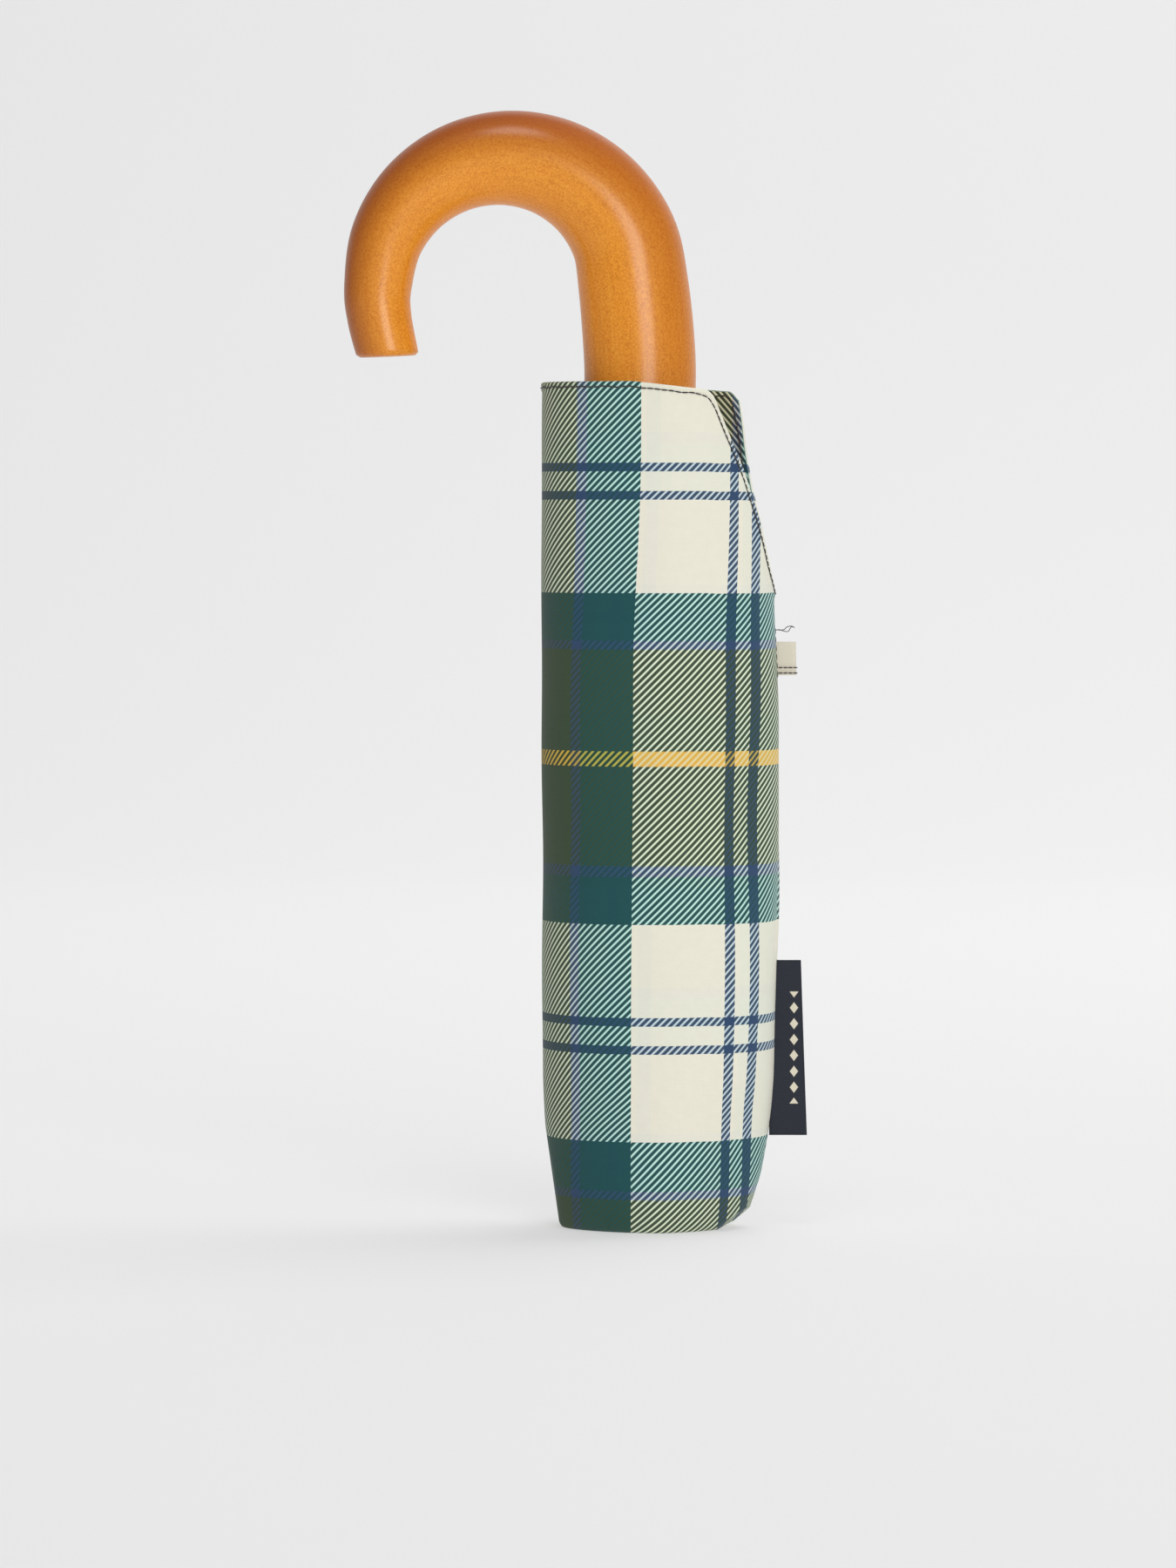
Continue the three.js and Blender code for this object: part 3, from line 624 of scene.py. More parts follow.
# hem stitching: the mouth's edge moved into the cloth by the inset, worked out flat and carried back
def makeMouthStitches():
    s = sleeve
    fine = np.linspace(0.004, 2 * math.pi - 0.004, 1600)
    reach = np.interp(fine, columnAngle, columnReach)
    edge = np.stack((reach, mouthHeight(fine)), 1)
    step = np.gradient(edge, axis=0)
    inward = np.stack((step[:, 1], -step[:, 0]), 1) / np.linalg.norm(step, axis=1)[:, None]
    smooth = np.ones(41) / 41
    moved = edge + inward * s["stitchInset"]
    for k in range(2):
        padded = np.pad(moved[:, k], 20, mode="reflect", reflect_type="odd")
        moved[:, k] = np.convolve(padded, smooth, "valid")
    moved[:, 1] += 0.00018 * np.sin(moved[:, 0] * 900) * np.sin(moved[:, 0] * 130)
    angle = np.interp(moved[:, 0], columnReach, columnAngle)
    line = sleevePoints(angle, moved[:, 1], 0, s["hemProud"] / 2)
    inside = sleevePoints(angle, moved[:, 1], s["clothThickness"])
    outward = line - inside
    outward[:, 2] = 0
    outward /= np.linalg.norm(outward, axis=1)[:, None]
    size = (s["stitchRadius"], s["stitchPitch"], s["stitchProud"])
    grids = [stitchGrid(line, outward, *size), stitchGrid(inside, -outward, *size)]
    piece = manyGrids("mouthStitches", np.concatenate(grids))
    finishPiece(piece, darkThread, "sleeve", "label_weave")
    crumple(piece)


makeMouthStitches()


seam = dict(
    labelColour="#131824", labelLight="#1d2431", markColour="#d9d2bd", tapeColour="#ded7c5",
    labelThickness=0.0006, tabThickness=0.0008, ribbonCloth=0.00035, tuck=0.0022, threadRadius=0.00014,
    markMiddle=4.6, markPitch=2.2, markSlope=0.75, markReach=1.25, markEdge=0.2,    # lozenges, millimetres
    markFrom=8.6, markTo=39.8,      # where the column of lozenges starts and ends, millimetres up the label
)


# Damask label: tight navy satin weave with a column of plain cream lozenges and a slight ribbed sheen
def labelMaterial():
    material, tree, shader = newMaterial("navyDamaskWeave", Roughness=0.8, Sheen_Weight=0.1)
    place = addNode(tree, "UVMap", uv_map="clothUv")
    split = addNode(tree, "SeparateXYZ", {0: place.outputs["UV"]})
    across, up = split.outputs["X"], split.outputs["Y"]    # both in millimetres
    noise = addNode(tree, "TexNoise", {"Vector": place.outputs["UV"], "Scale": 5.0, "Detail": 3.0})
    ground = addNode(tree, "ValToRGB", {"Fac": noise.outputs["Fac"]})
    ground.color_ramp.elements[0].position = 0.3
    ground.color_ramp.elements[0].color = linearColour(seam["labelColour"])
    ground.color_ramp.elements[1].position = 0.75
    ground.color_ramp.elements[1].color = linearColour(seam["labelLight"])
    fromMiddle = addNode(tree, "Math", {0: across, 1: seam["markMiddle"]}, operation="SUBTRACT")
    side = addNode(tree, "Math", {0: fromMiddle.outputs[0]}, operation="ABSOLUTE")
    along = addNode(tree, "Math", {0: up, 1: seam["markPitch"]}, operation="PINGPONG")
    tall = addNode(tree, "Math", {0: along.outputs[0], 1: seam["markSlope"]}, operation="MULTIPLY")
    lozenge = addNode(tree, "Math", {0: side.outputs[0], 1: tall.outputs[0]}, operation="ADD")
    limits = []
    for value, start, way in ((lozenge.outputs[0], seam["markReach"], -1), (up, seam["markFrom"], 1),
                              (up, seam["markTo"], -1)):
        limits.append(addNode(tree, "MapRange", {"Value": value, "From Min": start,
                                                 "From Max": start + way * seam["markEdge"]}))
    inMark, above, below = limits
    inside = addNode(tree, "Math", {0: above.outputs[0], 1: below.outputs[0]}, operation="MULTIPLY")
    mark = addNode(tree, "Math", {0: inMark.outputs[0], 1: inside.outputs[0]}, operation="MULTIPLY")
    colour = addNode(tree, "Mix", {"Factor": mark.outputs[0], 6: ground.outputs["Color"],
                                   7: linearColour(seam["markColour"])}, data_type="RGBA")
    tree.links.new(colour.outputs[2], shader.inputs["Base Color"])
    ribs = stripes(tree, up, 1 / 0.5, 0.25)
    bump = addNode(tree, "Bump", {"Height": ribs, "Distance": 0.00008, "Strength": 0.6})
    tree.links.new(bump.outputs["Normal"], shader.inputs["Normal"])
    return material


# Cotton tape: cream twill weave, matt, with a fine chevron ridge along its length
def tapeMaterial():
    material, tree, shader = newMaterial("creamCottonTape", Roughness=0.9, Sheen_Weight=0.2)
    place = addNode(tree, "UVMap", uv_map="clothUv")
    split = addNode(tree, "SeparateXYZ", {0: place.outputs["UV"]})
    fold = addNode(tree, "Math", {0: split.outputs["Y"], 1: 1.6}, operation="PINGPONG")
    slant = addNode(tree, "Math", {0: split.outputs["X"], 1: fold.outputs[0]}, operation="ADD")
    ridge = stripes(tree, slant.outputs[0], 1 / 0.55, 0.25)
    noise = addNode(tree, "TexNoise", {"Vector": place.outputs["UV"], "Scale": 2.0})
    shade = addNode(tree, "MapRange", {"Value": noise.outputs["Fac"], "To Min": 0.93, "To Max": 1.03})
    toned = addNode(tree, "HueSaturation", {"Color": linearColour(seam["tapeColour"]),
                                            "Value": shade.outputs[0]})
    tree.links.new(toned.outputs["Color"], shader.inputs["Base Color"])
    bump = addNode(tree, "Bump", {"Height": ridge, "Distance": 0.00008, "Strength": 0.6})
    tree.links.new(bump.outputs["Normal"], shader.inputs["Normal"])
    return material


# A folded ribbon end that stands out of the seam: a strip from the seam edge outwards, doubled back over
# a small round fold, with a slow bow across its height.
def seamRibbon(name, node, material, slotName, thickness, lean, bow, seed):
    low, high = boxOf(node)
    rows, columns = 40, 22
    height = np.linspace(low[2], high[2], rows)
    share = np.linspace(-1, 1, columns)
    rise = (height - low[2]) / (high[2] - low[2])
    x0 = low[0] - seam["tuck"]
    far = high[0] - lean * (height - low[2]) / (high[2] - low[2])
    out = 1 - np.abs(share)
    x = x0 + (far - x0)[:, None] * out[None, :]
    side = thickness * np.sign(share) * np.minimum(1, np.sqrt(np.clip(1 - out ** 2, 0, 1)) * 1.6)
    wave = bow * np.sin(rise * math.pi)[:, None] * out[None, :]
    wave = wave + 0.00025 * softField(height[:, None] * 160, x * 200, seed)
    y = side[None, :] * 0.5 + wave
    grid = np.stack((x, y, np.broadcast_to(height[:, None], x.shape)), -1)
    uv = np.stack(((x - low[0]) / millimetre,
                   np.broadcast_to((height - low[2])[:, None], x.shape) / millimetre), -1)
    piece = gridPiece(name, grid, uv=uv, outward=False)
    addModifier(piece, "SOLIDIFY", thickness=seam["ribbonCloth"], offset=0)
    finishPiece(piece, material, "sleeve", slotName, node)
    crumple(piece)
    return piece, low, high


labelPiece, labelLow, labelHigh = seamRibbon(
    "wovenLabel", "sleeve_label", labelMaterial(), "label_weave",
    seam["labelThickness"], lean=0.0018, bow=0.0012, seed=21)
tabPiece, tabLow, tabHigh = seamRibbon(
    "seamTab", "sleeve_tab", tapeMaterial(), "seam_tape",
    seam["tabThickness"], lean=0.0002, bow=0.0002, seed=22)


# two rows of dark stitches across the tab, a few up the seam beside it, and the cut ends of the thread
def makeSeamThreads():
    radius = seam["threadRadius"]
    grids = []
    for lift in (0.0006, 0.0021):
        x = np.linspace(tabLow[0] - 0.0005, tabHigh[0] + 0.0001, 12)
        for face in (-1, 1):
            line = np.stack((x, np.full(12, face * 0.00062), np.full(12, tabLow[2] + lift)), 1)
            away = np.tile([0.0, face, 0.0], (12, 1))
            grids.append(stitchGrid(line, away, radius * 1.25, 0.0012, 0.0003))
    height = np.linspace(tabLow[2] - 0.001, tabHigh[2] + 0.004, 14)
    edge = sleevePoints(np.full(14, -0.05), height, 0)
    grids.append(stitchGrid(edge, np.tile([0.6, -0.8, 0.0], (14, 1)), radius, 0.0021, 0.00025))
    stitches = manyGrids("seamStitches", np.concatenate(grids))
    finishPiece(stitches, darkThread, "sleeve", "label_weave")
    crumple(stitches)
    start = np.array([tabLow[0] - 0.0012, 0.0, tabHigh[2] + 0.0032])
    tails = (((0, 0, 0), (1.2, -.1, .1), (2.4, 0, -.3), (3.4, .2, -.4), (3.9, .4, .1), (4.4, .6, .9),
              (5.3, .5, .7)),
             ((0, 0, .1), (1.4, .2, .0), (2.5, .3, .2), (3.1, .1, .8), (4.1, -.2, 1.1), (4.9, -.3, 1.0)))
    for number, tail in enumerate(tails):
        path = smoothPath(start + np.array(tail) * millimetre, 36)
        grid = closeEnds(sweptGrid(path, radius * 0.8, 6))
        piece = gridPiece(f"threadTail{number + 1}", grid, wrap=True)
        finishPiece(piece, darkThread, "sleeve", "label_weave")
        crumple(piece)


makeSeamThreads()
print("label, tab and stitches are made")


handle = dict(
    shankRadius=0.0152, archTopRadius=0.0132, archEndRadius=0.0095, noseRadius=0.0084,
    shankStraight=0.0279, shankLength=0.0471, crookRadius=0.0351, crookLean=0.0017,
    noseDrop=0.0192, noseTurnIn=0.0027, noseCut=10, edgeRound=0.0009,
    rings=220, sides=72, lacquer="#ffe0c0",
    # the dark red-brown and the settings after it paint shade onto the outside of the bend
    wood=("#d2841a", "#e69c29", "#f0ad3d"), paintedShadeColour="#953f08", paintedShadeDepth=0.86,
    paintedShadeAcross=(0.004, -0.0125),       # from the section's middle, where the painted shade starts and is full
    paintedShadeAlong=(0.025, 0.11), paintedShadeLow=0.35,    # up the handle, and how much of the painted shade the shank keeps
)


# Steam bent beech under a caramel stain and satin lacquer: close even grain, fine pores along the bend,
# and a soft clear coat that gives broad highlights.
def woodMaterial():
    material, tree, shader = newMaterial("stainedBeechSatinLacquer", Roughness=0.5, Coat_Weight=0.6,
                                         Coat_Roughness=0.24, Coat_IOR=1.45, Specular_IOR_Level=0.3,
                                         Coat_Tint=linearColour(handle["lacquer"]))
    grain = addNode(tree, "Attribute", attribute_name="straightened")
    drawn = addNode(tree, "Mapping", {"Vector": grain.outputs["Vector"], "Scale": (1.0, 1.0, 0.07)})
    fibres = addNode(tree, "TexNoise", {"Vector": drawn.outputs[0], "Scale": 900.0, "Detail": 5.0,
                                        "Roughness": 0.6})
    broad = addNode(tree, "TexNoise", {"Vector": drawn.outputs[0], "Scale": 140.0, "Detail": 2.0})
    speckle = addNode(tree, "TexNoise", {"Vector": grain.outputs["Vector"], "Scale": 1900.0, "Detail": 2.0})
    both = addNode(tree, "Mix", {"Factor": 0.12, 2: fibres.outputs["Fac"], 3: broad.outputs["Fac"]})
    mixed = addNode(tree, "Mix", {"Factor": 0.7, 2: both.outputs[0], 3: speckle.outputs["Fac"]})
    ramp = addNode(tree, "ValToRGB", {"Fac": mixed.outputs[0]})
    ramp.color_ramp.elements[0].position = 0.34
    ramp.color_ramp.elements[0].color = linearColour(handle["wood"][0])
    ramp.color_ramp.elements[1].position = 0.66
    ramp.color_ramp.elements[1].color = linearColour(handle["wood"][2])
    middle = ramp.color_ramp.elements.new(0.5)
    middle.color = linearColour(handle["wood"][1])
    # painted shade: towards the outside of the bend and up into the arch, the wood's colour is mixed towards
    # a dark red-brown
    split = addNode(tree, "SeparateXYZ", {0: grain.outputs["Vector"]})
    start, full = handle["paintedShadeAcross"]
    outer = addNode(tree, "MapRange", {"Value": split.outputs["X"], "From Min": start, "From Max": full,
                                       "To Max": handle["paintedShadeDepth"]}, interpolation_type="SMOOTHSTEP")
    start, full = handle["paintedShadeAlong"]
    bent = addNode(tree, "MapRange", {"Value": split.outputs["Z"], "From Min": start, "From Max": full,
                                      "To Min": handle["paintedShadeLow"]}, interpolation_type="SMOOTHSTEP")
    amount = addNode(tree, "Math", {0: outer.outputs[0], 1: bent.outputs[0]}, operation="MULTIPLY")
    stainAndPaintedShade = addNode(tree, "Mix", {"Factor": amount.outputs[0], 6: ramp.outputs["Color"],
                                    7: linearColour(handle["paintedShadeColour"])}, data_type="RGBA")
    tree.links.new(stainAndPaintedShade.outputs[2], shader.inputs["Base Color"])
    bump = addNode(tree, "Bump", {"Height": fibres.outputs["Fac"], "Distance": 0.00003, "Strength": 0.3})
    tree.links.new(bump.outputs["Normal"], shader.inputs["Normal"])
    return material


# Round section carried along the crook: straight shank, slight lean, half circle and a short limb, with
# the radius easing from shank to nose. Both ends are flat with a small rounded edge.
def makeHandle():
    h = handle
    bottom = boxOf("handle")[0][2]
    centreX, centreZ = -(h["crookLean"] + h["crookRadius"]), bottom + h["shankLength"]
    turn = np.linspace(0, math.pi, 9)
    arc = np.stack((centreX + h["crookRadius"] * np.cos(turn), centreZ + h["crookRadius"] * np.sin(turn)), 1)
    noseX = centreX - h["crookRadius"] + h["noseTurnIn"]
    points = np.vstack(([(0, bottom), (0, bottom + h["shankStraight"] / 2), (0, bottom + h["shankStraight"])],
                        arc, [(noseX - 0.85 * h["noseTurnIn"], centreZ - 0.45 * h["noseDrop"]),
                              (noseX, centreZ - h["noseDrop"])]))
    flatPath = smoothPath(points, h["rings"])
    path = np.stack((flatPath[:, 0], np.zeros(h["rings"]), flatPath[:, 1]), 1)
    share = np.linspace(0, 1, h["rings"])
    taper = smoothPath([(0, h["shankRadius"]), (0.25, h["shankRadius"]), (0.55, h["archTopRadius"]),
                        (0.87, h["archEndRadius"]), (1, h["noseRadius"])], 400)
    radii = np.interp(share, taper[:, 0], taper[:, 1])
    length = np.linalg.norm(np.diff(path, axis=0), axis=1).sum()
    # rounded rims: the last rings draw in along a quarter circle
    fromEnd = np.minimum(share, 1 - share) * length
    radii = radii - h["edgeRound"] * (1 - np.sqrt(1 - np.clip(1 - fromEnd / h["edgeRound"], 0, 1) ** 2))
    angle = np.linspace(0, 2 * math.pi, h["sides"], endpoint=False)
    along = np.gradient(path, axis=0)
    along /= np.linalg.norm(along, axis=1)[:, None]
    # the nose is cut nearly level: towards it, rings lean by moving each point along the path
    lean = math.tan(math.radians(h["noseCut"])) * ease((share - 0.9) / 0.1) * radii
    rings = sweptGrid(path, radii, h["sides"]) + along[:, None] * (lean[:, None] * np.cos(angle))[..., None]
    grid = closeEnds(rings)
    ringRadius = np.concatenate(([0], radii, [0]))[:, None]
    along = np.concatenate(([0], share * length, [length]))[:, None]
    straight = (ringRadius * np.cos(angle), ringRadius * np.sin(angle), along)
    straight = np.stack(np.broadcast_arrays(*straight), -1)
    piece = gridPiece("crookHandle", grid, wrap=True, vectors={"straightened": straight})
    finishPiece(piece, woodMaterial(), "handle", "handle_wood", "handle")
    return piece


makeHandle()
print("handle is made")


# Drawn or stamped metal: fine lines along its length, a slightly uneven finish, and faint duller rubbing
def metalMaterial(name, colours, roughness, metallic, lineScale, **constants):
    material, tree, shader = newMaterial(name, Metallic=metallic, **constants)
    place = addNode(tree, "TexCoord")
    drawn = addNode(tree, "Mapping", {"Vector": place.outputs["Object"], "Scale": (1.0, 1.0, 0.02)})
    lines = addNode(tree, "TexNoise", {"Vector": drawn.outputs[0], "Scale": lineScale, "Detail": 4.0})
    cloudy = addNode(tree, "TexNoise", {"Vector": place.outputs["Object"], "Scale": 90.0, "Detail": 5.0})
    ramp = addNode(tree, "ValToRGB", {"Fac": cloudy.outputs["Fac"]})
    ramp.color_ramp.elements[0].position = 0.35
    ramp.color_ramp.elements[0].color = linearColour(colours[0])
    ramp.color_ramp.elements[1].position = 0.65
    ramp.color_ramp.elements[1].color = linearColour(colours[1])
    tree.links.new(ramp.outputs["Color"], shader.inputs["Base Color"])
    dull = addNode(tree, "MapRange", {"Value": cloudy.outputs["Fac"], "From Min": 0.3, "From Max": 0.7,
                                      "To Min": roughness * 0.8, "To Max": roughness * 1.25})
    tree.links.new(dull.outputs[0], shader.inputs["Roughness"])
    bump = addNode(tree, "Bump", {"Height": lines.outputs["Fac"], "Distance": 0.00003, "Strength": 0.25})
    tree.links.new(bump.outputs["Normal"], shader.inputs["Normal"])
    return material


ribSteel = metalMaterial("zincPlatedRibSteel", ("#8d9094", "#a9acb0"), 0.34, 1.0, 900.0)
tubeSteel = metalMaterial("chromedSteelTube", ("#c3c6ca", "#d2d5d8"), 0.16, 1.0, 1400.0)
tubeAluminium = metalMaterial("drawnAluminiumTube", ("#b9bbbe", "#cacccf"), 0.28, 1.0, 1600.0)
mouldedNylon = metalMaterial("mouldedBlackNylon", ("#17181a", "#232427"), 0.48, 0.0, 500.0,
                             Specular_IOR_Level=0.45)


# CAD nodes that keep their own shape: each takes the finish of the first name that its own starts with
def dressCadNodes():
    finishes = (("middle_tube_bush", mouldedNylon), ("outer_tube_bush", mouldedNylon),
                ("stretcher", ribSteel), ("top_rib", ribSteel), ("mid_rib", ribSteel),
                ("tip_rib", ribSteel), ("handle_pin", ribSteel),
                ("inner_tube", tubeSteel), ("middle_tube", tubeAluminium), ("outer_tube", tubeSteel),
                ("runner", mouldedNylon), ("top_", mouldedNylon), ("handle_collar", tubeSteel))
    for name, node in frame["nodes"].items():
        finish = next((finish for start, finish in finishes if name.startswith(start)), None)
        for slotPlace in node.material_slots if finish else ():
            slotPlace.material = finish


dressCadNodes()

turned = dict(sides=64, edge=0.00035, bores=dict(inner=0.0035, middle=0.0046, outer=0.0057))


# a plain tube or ring in place of a CAD node: its wall's section, with small rounded rims, turned about Z
def tubePiece(name, node, material, body, slotName, kind):
    bore = turned["bores"][kind]
    low, high = boxOf(node)
    centre = (low + high) / 2
    outer, e = (high[0] - low[0]) / 2, turned["edge"]
    rim = np.linspace(0, math.pi / 2, 5)
    top = np.stack((outer - e + e * np.cos(rim), high[2] - e + e * np.sin(rim)), 1)
    bottom = np.stack((outer - e + e * np.sin(rim), low[2] + e - e * np.cos(rim)), 1)
    wallHeights = np.linspace(low[2] + e, high[2] - e, 24)[1:-1]
    wall = np.stack((np.full(len(wallHeights), outer), wallHeights), 1)
    loop = np.vstack((bottom, wall, top, [(bore, high[2]), (bore, low[2]), bottom[0]]))
    piece = gridPiece(name, turnedGrid(loop, turned["sides"], centre[:2]), wrap=True)
    piece.data.set_sharp_from_angle(angle=math.radians(40))
    return finishPiece(piece, material, body, slotName, node)


tubePiece("slidingShaft", "inner_tube", tubeSteel, "handle", "tube_steel", "inner")
tubePiece("middleShaft", "middle_tube", tubeAluminium, "middle_tube", "tube_aluminium", "middle")
tubePiece("runnerShaft", "outer_tube", tubeSteel, "canopy_shaft", "tube_steel", "outer")
tubePiece("middleShaftLip", "middle_tube_bush", mouldedNylon, "middle_tube", "black_plastic", "middle")
tubePiece("runnerShaftLip", "outer_tube_bush", mouldedNylon, "canopy_shaft", "black_plastic", "outer")
print("tubes and metal finishes are made")


# canopy: twelve cloths. Each spans two gores, is stitched to the rib between them, and stands for a quarter
# of the crown, of the middle or of the hem.
canopy = dict(
    openTurns=(78, -190, 167),    # degrees that top, middle and tip ribs turn as the frame opens
    clothRadius=(0.0126, 0.0139, 0.0199),    # the folded cloth beside each kind of rib, from the shaft's axis
    innerStart=0.0203, packRadius=0.0224, dip=(0.2, 0.2, 0.308, 0.207), scallop=0.040, cornerRound=0.006,
    printShift=12.5, folds=(16, 28, 34), foldShare=0.86, rows=(26, 26, 30), clothThickness=0.00014,
)
jointNamed = {joint["name"]: joint for joint in frame["joints"]}
segments = (("top", "crown"), ("mid", "middle"), ("tip", "hem"))


# where each kind of rib goes as the frame opens, in the plane of one rib (outward, up): a turn and a shift.
# Each hinge's turn carries all the ribs beyond it.
def openRibPlaces():
    places = []
    turn, shift = np.eye(2), np.zeros(2)
    for (rib, _), degrees in zip(segments, canopy["openTurns"]):
        hinge = np.array(jointNamed[rib + "_rib_1_hinge"]["pos_m"])[[0, 2]]
        c, s = math.cos(math.radians(degrees)), math.sin(math.radians(degrees))
        step = np.array([[c, s], [-s, c]])
        shift = turn @ (hinge - step @ hinge) + shift
        turn = turn @ step
        places.append((turn, shift))
    return places


# the open canopy's line over a rib: the three cloth lines joined where they cross, each corner rounded by a
# quadratic curve. Returns dense points, their distances along it and the two joining distances.
def openProfile(places):
    c = canopy
    base = [turn @ (radius, 0) + shift for (turn, shift), radius in zip(places, c["clothRadius"])]
    along = [turn @ (0.0, 1.0) for turn, _ in places]
    corners = [base[0] + along[0] * c["innerStart"]]
    for i in (0, 1):
        reach = np.linalg.solve(np.stack((along[i], -along[i + 1]), 1), base[i + 1] - base[i])[0]
        corners.append(base[i] + along[i] * reach)
    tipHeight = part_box("tip_rib_1")[1][2] - 0.0006
    corners.append(places[2][0] @ (c["clothRadius"][2], tipHeight) + places[2][1])
    dense, t = [], np.linspace(0, 1, 30)[:, None]
    for i in range(3):
        way = (corners[i + 1] - corners[i]) / np.linalg.norm(corners[i + 1] - corners[i])
        start = corners[i] + way * (c["cornerRound"] if i else 0)
        end = corners[i + 1] - way * (c["cornerRound"] if i < 2 else 0)
        dense.append(start + (end - start) * t)
        if i < 2:
            onward = (corners[i + 2] - corners[i + 1]) / np.linalg.norm(corners[i + 2] - corners[i + 1])
            after = corners[i + 1] + onward * c["cornerRound"]
            dense.append(((1 - t) ** 2 * end + 2 * t * (1 - t) * corners[i + 1] + t ** 2 * after)[1:-1])
    line = np.vstack(dense)
    walked = walkedLine(line)
    joins = [walked[np.argmin(np.linalg.norm(line - corner, axis=1))] for corner in corners[1:3]]
    return line, walked, joins


# One cloth, worked out open and carried back to the folded frame. share runs from -1 to 1 across its two
# gores. Open, the cloth follows the rib line, dips between ribs and ends in a scalloped hem. Folded, it lies
# in pleats across the outward direction, whose depths the turn about the shaft takes up when it opens.
def clothShape(part, places, profile):
    c = canopy
    line, walked, joins = profile
    edges = (0.0, joins[0], joins[1], walked[-1])
    count = c["folds"][part]
    q = np.linspace(0, 1, 2 * count + 1)
    share = np.concatenate((-q[::-1], q))
    q = np.abs(share)[None, :]
    middle = 1 - (2 * q - 1) ** 2    # 0 at the ribs, 1 half way between them
    lastReach = edges[part + 1] - (c["scallop"] * middle if part == 2 else 0)
    t = edges[part] + np.linspace(0, 1, c["rows"][part])[:, None] * (lastReach - edges[part])
    t = np.broadcast_to(t, np.broadcast_shapes(t.shape, q.shape))
    ribReach = np.interp(t, walked, line[:, 0])
    ribHeight = np.interp(t, walked, line[:, 1])
    spare = 1 - math.cos(math.pi / 8)
    drop = np.interp(t, edges[:3], c["dip"][:3])
    drop = np.where(t > edges[2], c["dip"][3] * line[-1, 0] / ribReach, drop)
    reach = ribReach * (1 - spare * drop * middle) - 0.00012 * ease((q - 0.45) * 8)
    bearing = np.sign(share)[None, :] * q * math.pi / 4
    turn, shift = places[part]
    carryBack = np.linalg.inv(turn)
    flat = carryBack @ (np.stack((reach.ravel(), ribHeight.ravel())) - shift[:, None])
    outward = flat[0].reshape(reach.shape)
    width = 2 * ribReach * math.tan(math.pi / 8)
    depth = c["foldShare"] * width / count
    fold = np.abs((q * count + 1) % 2 - 1)    # 0 at inner folds, 1 at outer ones
    if part == 2:
        inner = np.sqrt(np.clip(c["packRadius"] ** 2 - outward ** 2, 1e-6, None)) - depth
    else:
        inner = 0.0005 + 0.0025 * middle * part
    inner = inner * np.clip(q * count, 0, 1)
    side = np.sign(share)[None, :] * (inner + fold * depth)
    side = np.where(q == 0, 0, side)
    radial = np.sqrt(reach ** 2 - side ** 2)
    flat = carryBack @ (np.stack((radial.ravel(), ribHeight.ravel())) - shift[:, None])
    weight = (bearing - np.arctan2(side, radial)) / (math.pi / 4)
    folded = np.stack((flat[0].reshape(reach.shape), side, flat[1].reshape(reach.shape)), -1)
    opened = np.stack((reach * np.cos(bearing), reach * np.sin(bearing), ribHeight), -1)
    gore = np.repeat([-1.0, 1.0], 2 * count + 1)[None, :]    # both gores are printed the same way round
    across = gore * width / 2 * (2 * q - 1)
    uv = np.stack((across / millimetre + canopy["printShift"], t / millimetre), -1)
    return folded, opened, weight, uv


# the four cloths of each zone, a quarter turn apart, each left in its folded shape in place of its CAD node
def makeCanopy():
    places = openRibPlaces()
    profile = openProfile(places)
    for part, (rib, cloth) in enumerate(segments):
        folded, opened, weight, uv = clothShape(part, places, profile)
        for number in range(1, 5):
            angle = (number - 1) * math.pi / 2
            c, s = math.cos(angle), math.sin(angle)
            spun = folded @ np.array([[c, s, 0], [-s, c, 0], [0, 0, 1]])
            name = f"{cloth}Cloth{number}"
            piece = gridPiece(name, spun, uv=uv, outward=False, floats={"spread": weight})
            spread = np.zeros(len(piece.data.vertices), np.float32)
            piece.data.attributes["spread"].data.foreach_get("value", spread)
            finishPiece(piece, canopyCloth, None, "canopy_print", f"{cloth}_cloth_{number}")
            addModifier(piece, "SOLIDIFY", thickness=canopy["clothThickness"], offset=0)
            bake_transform(piece)
            piece.data.attributes.remove(piece.data.attributes["spread"])


makeCanopy()
print("canopy is made")


# closing strap, its press stud and the rib tips
strap = dict(
    halfAngle=38, edgeRound=0.004, thickness=0.0007, studAngle=22, studRadius=0.0046, studProud=0.0015,
    tipRadius=0.0017, tipShift=0.0015,
)


# a profile (radius, distance) turned about any direction through a place
def turnedTowards(profile, sides, place, direction):
    grid = turnedGrid(profile, sides)
    side = np.cross(direction, (0, 0, 1) if abs(direction[2]) < 0.9 else (1, 0, 0))
    side = side / np.linalg.norm(side)
    other = np.cross(direction, side)
    return np.asarray(place) + grid[..., :1] * side + grid[..., 1:2] * other + grid[..., 2:] * direction


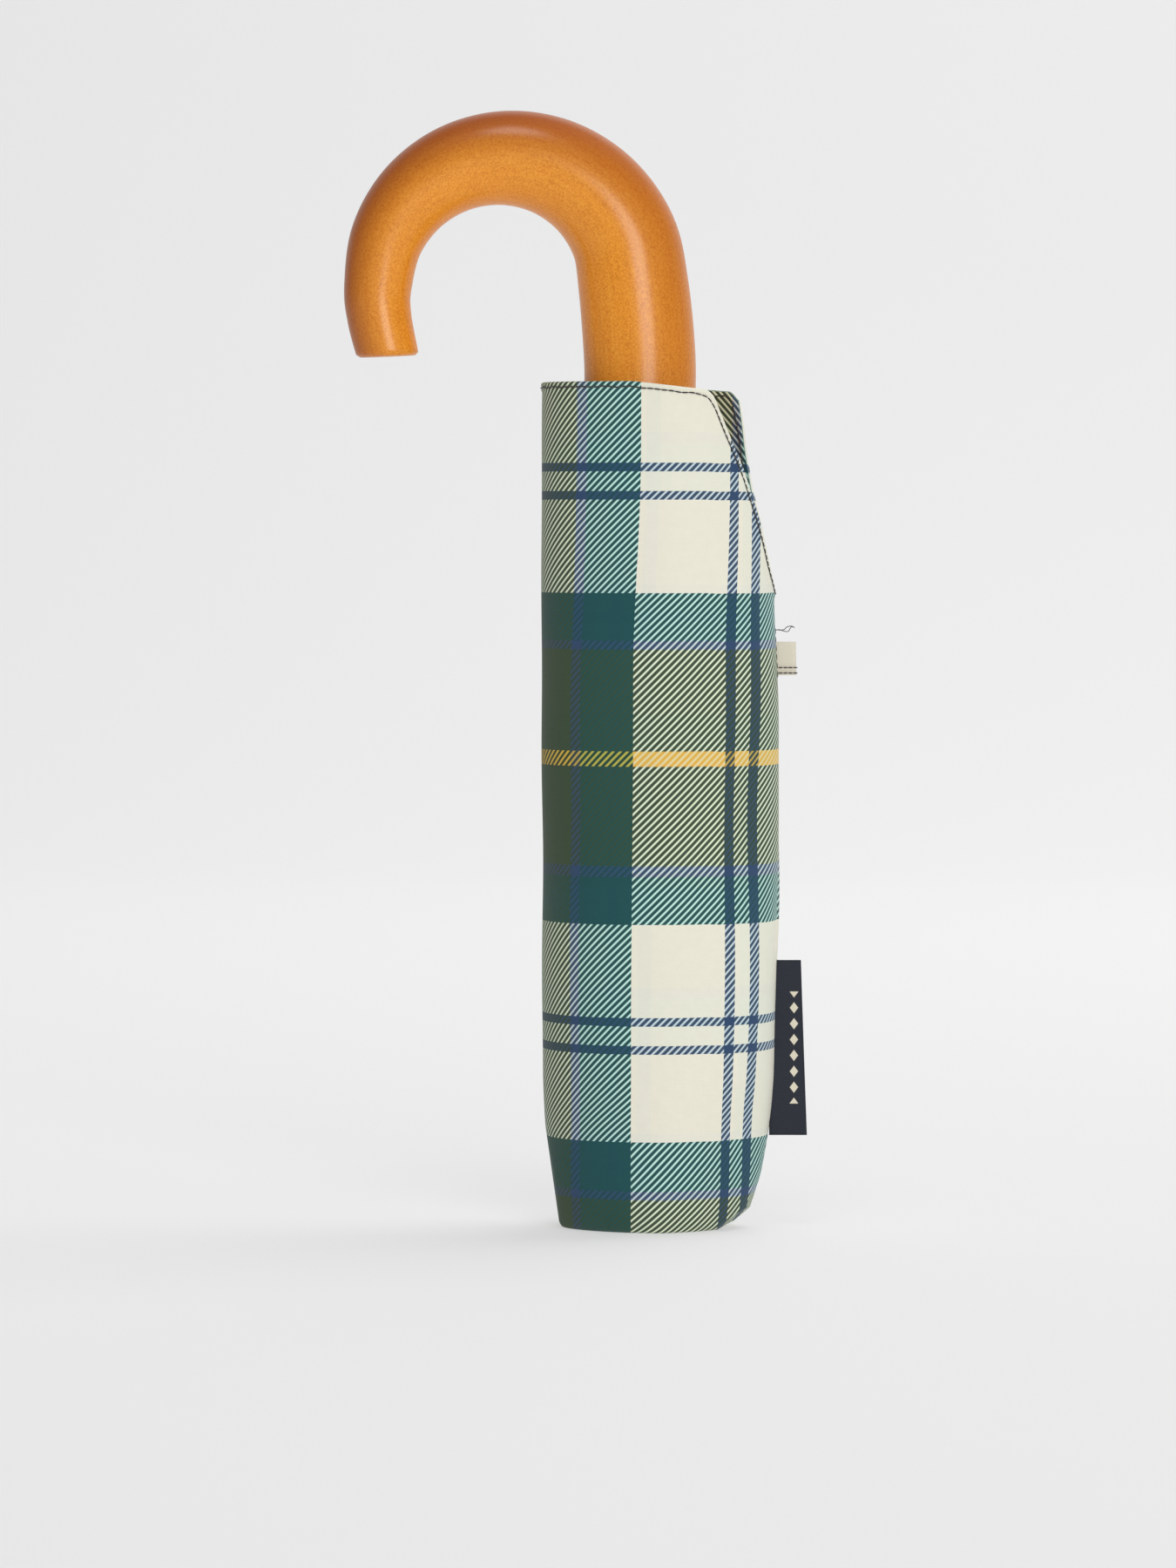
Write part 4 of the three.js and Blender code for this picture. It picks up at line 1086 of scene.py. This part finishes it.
# the strap is a strip on a cylinder; near its free end its edges draw in along a circle
def makeStrap():
    s = strap
    low, high = boxOf("closing_strap")
    radius = -low[1] - s["thickness"] / 2
    angle = np.radians(np.linspace(-s["halfAngle"], s["halfAngle"], 60))
    arc = angle * radius
    fromEnd = np.clip((arc[-1] - arc) / (s["edgeRound"] * 1.5), 0, 1)
    half = (high[2] - low[2]) / 2
    tall = half - s["edgeRound"] * (1 - np.sqrt(1 - (1 - fromEnd) ** 2))
    up = np.linspace(-1, 1, 18)[:, None] * tall[None, :]
    wave = 0.00012 * softField(arc[None, :] * 260, up * 260, 31)
    x = (radius + wave) * np.sin(angle)[None, :]
    y = -(radius + wave) * np.cos(angle)[None, :]
    grid = np.stack((x, y, (low[2] + high[2]) / 2 + up), -1)
    uv = np.stack((np.broadcast_to(arc / millimetre + 60, up.shape), up / millimetre + 66), -1)
    piece = gridPiece("closingStrap", grid, uv=uv, outward=False)
    addModifier(piece, "SOLIDIFY", thickness=s["thickness"], offset=0)
    addModifier(piece, "BEVEL", width=0.00015, segments=2)
    finishPiece(piece, canopyCloth, "tip_rib_7", "canopy_print", "closing_strap")
    turn = math.radians(s["studAngle"])
    out = np.array([math.sin(turn), -math.cos(turn), 0.0])
    share = np.linspace(0, 1, 9) * math.pi / 2
    dome = np.stack((s["studRadius"] * np.cos(share), s["studProud"] * 0.6 * np.sin(share)), 1)
    dome[:, 1] += s["studProud"] * 0.4
    dent = np.array([(0.0012, 0.0012), (0.0009, 0.0011), (0, 0.0010)])
    profile = np.vstack(([(0, -0.0002), (s["studRadius"], -0.0002)], dome[dome[:, 0] > 0.0014], dent))
    place = out * (radius + 0.0003) + [0, 0, low[2] + half]
    stud = gridPiece("pressStud", turnedTowards(profile, 40, place, out), wrap=True)
    finishPiece(stud, tubeSteel, "tip_rib_7", "tube_steel")


# a moulded ball over each rib's end, which holds a corner of the hem
def makeRibTips():
    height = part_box("tip_rib_1")[1][2]
    outward = (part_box("tip_rib_1")[0][0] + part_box("tip_rib_1")[1][0]) / 2
    share = np.linspace(-math.pi / 2, math.pi / 2, 15)
    ball = strap["tipRadius"] * np.stack((np.cos(share), np.sin(share)), 1)
    for number in range(1, 9):
        angle = (number - 1) * math.pi / 4
        c, s = math.cos(angle), math.sin(angle)
        x, y = outward, strap["tipShift"]
        grid = turnedGrid(ball, 24, (c * x - s * y, s * x + c * y)) + [0, 0, height]
        tip = gridPiece(f"ribTip{number}", grid, wrap=True)
        finishPiece(tip, mouldedNylon, f"tip_rib_{number}", "black_plastic")


makeStrap()
makeRibTips()
print("strap and rib tips are made")
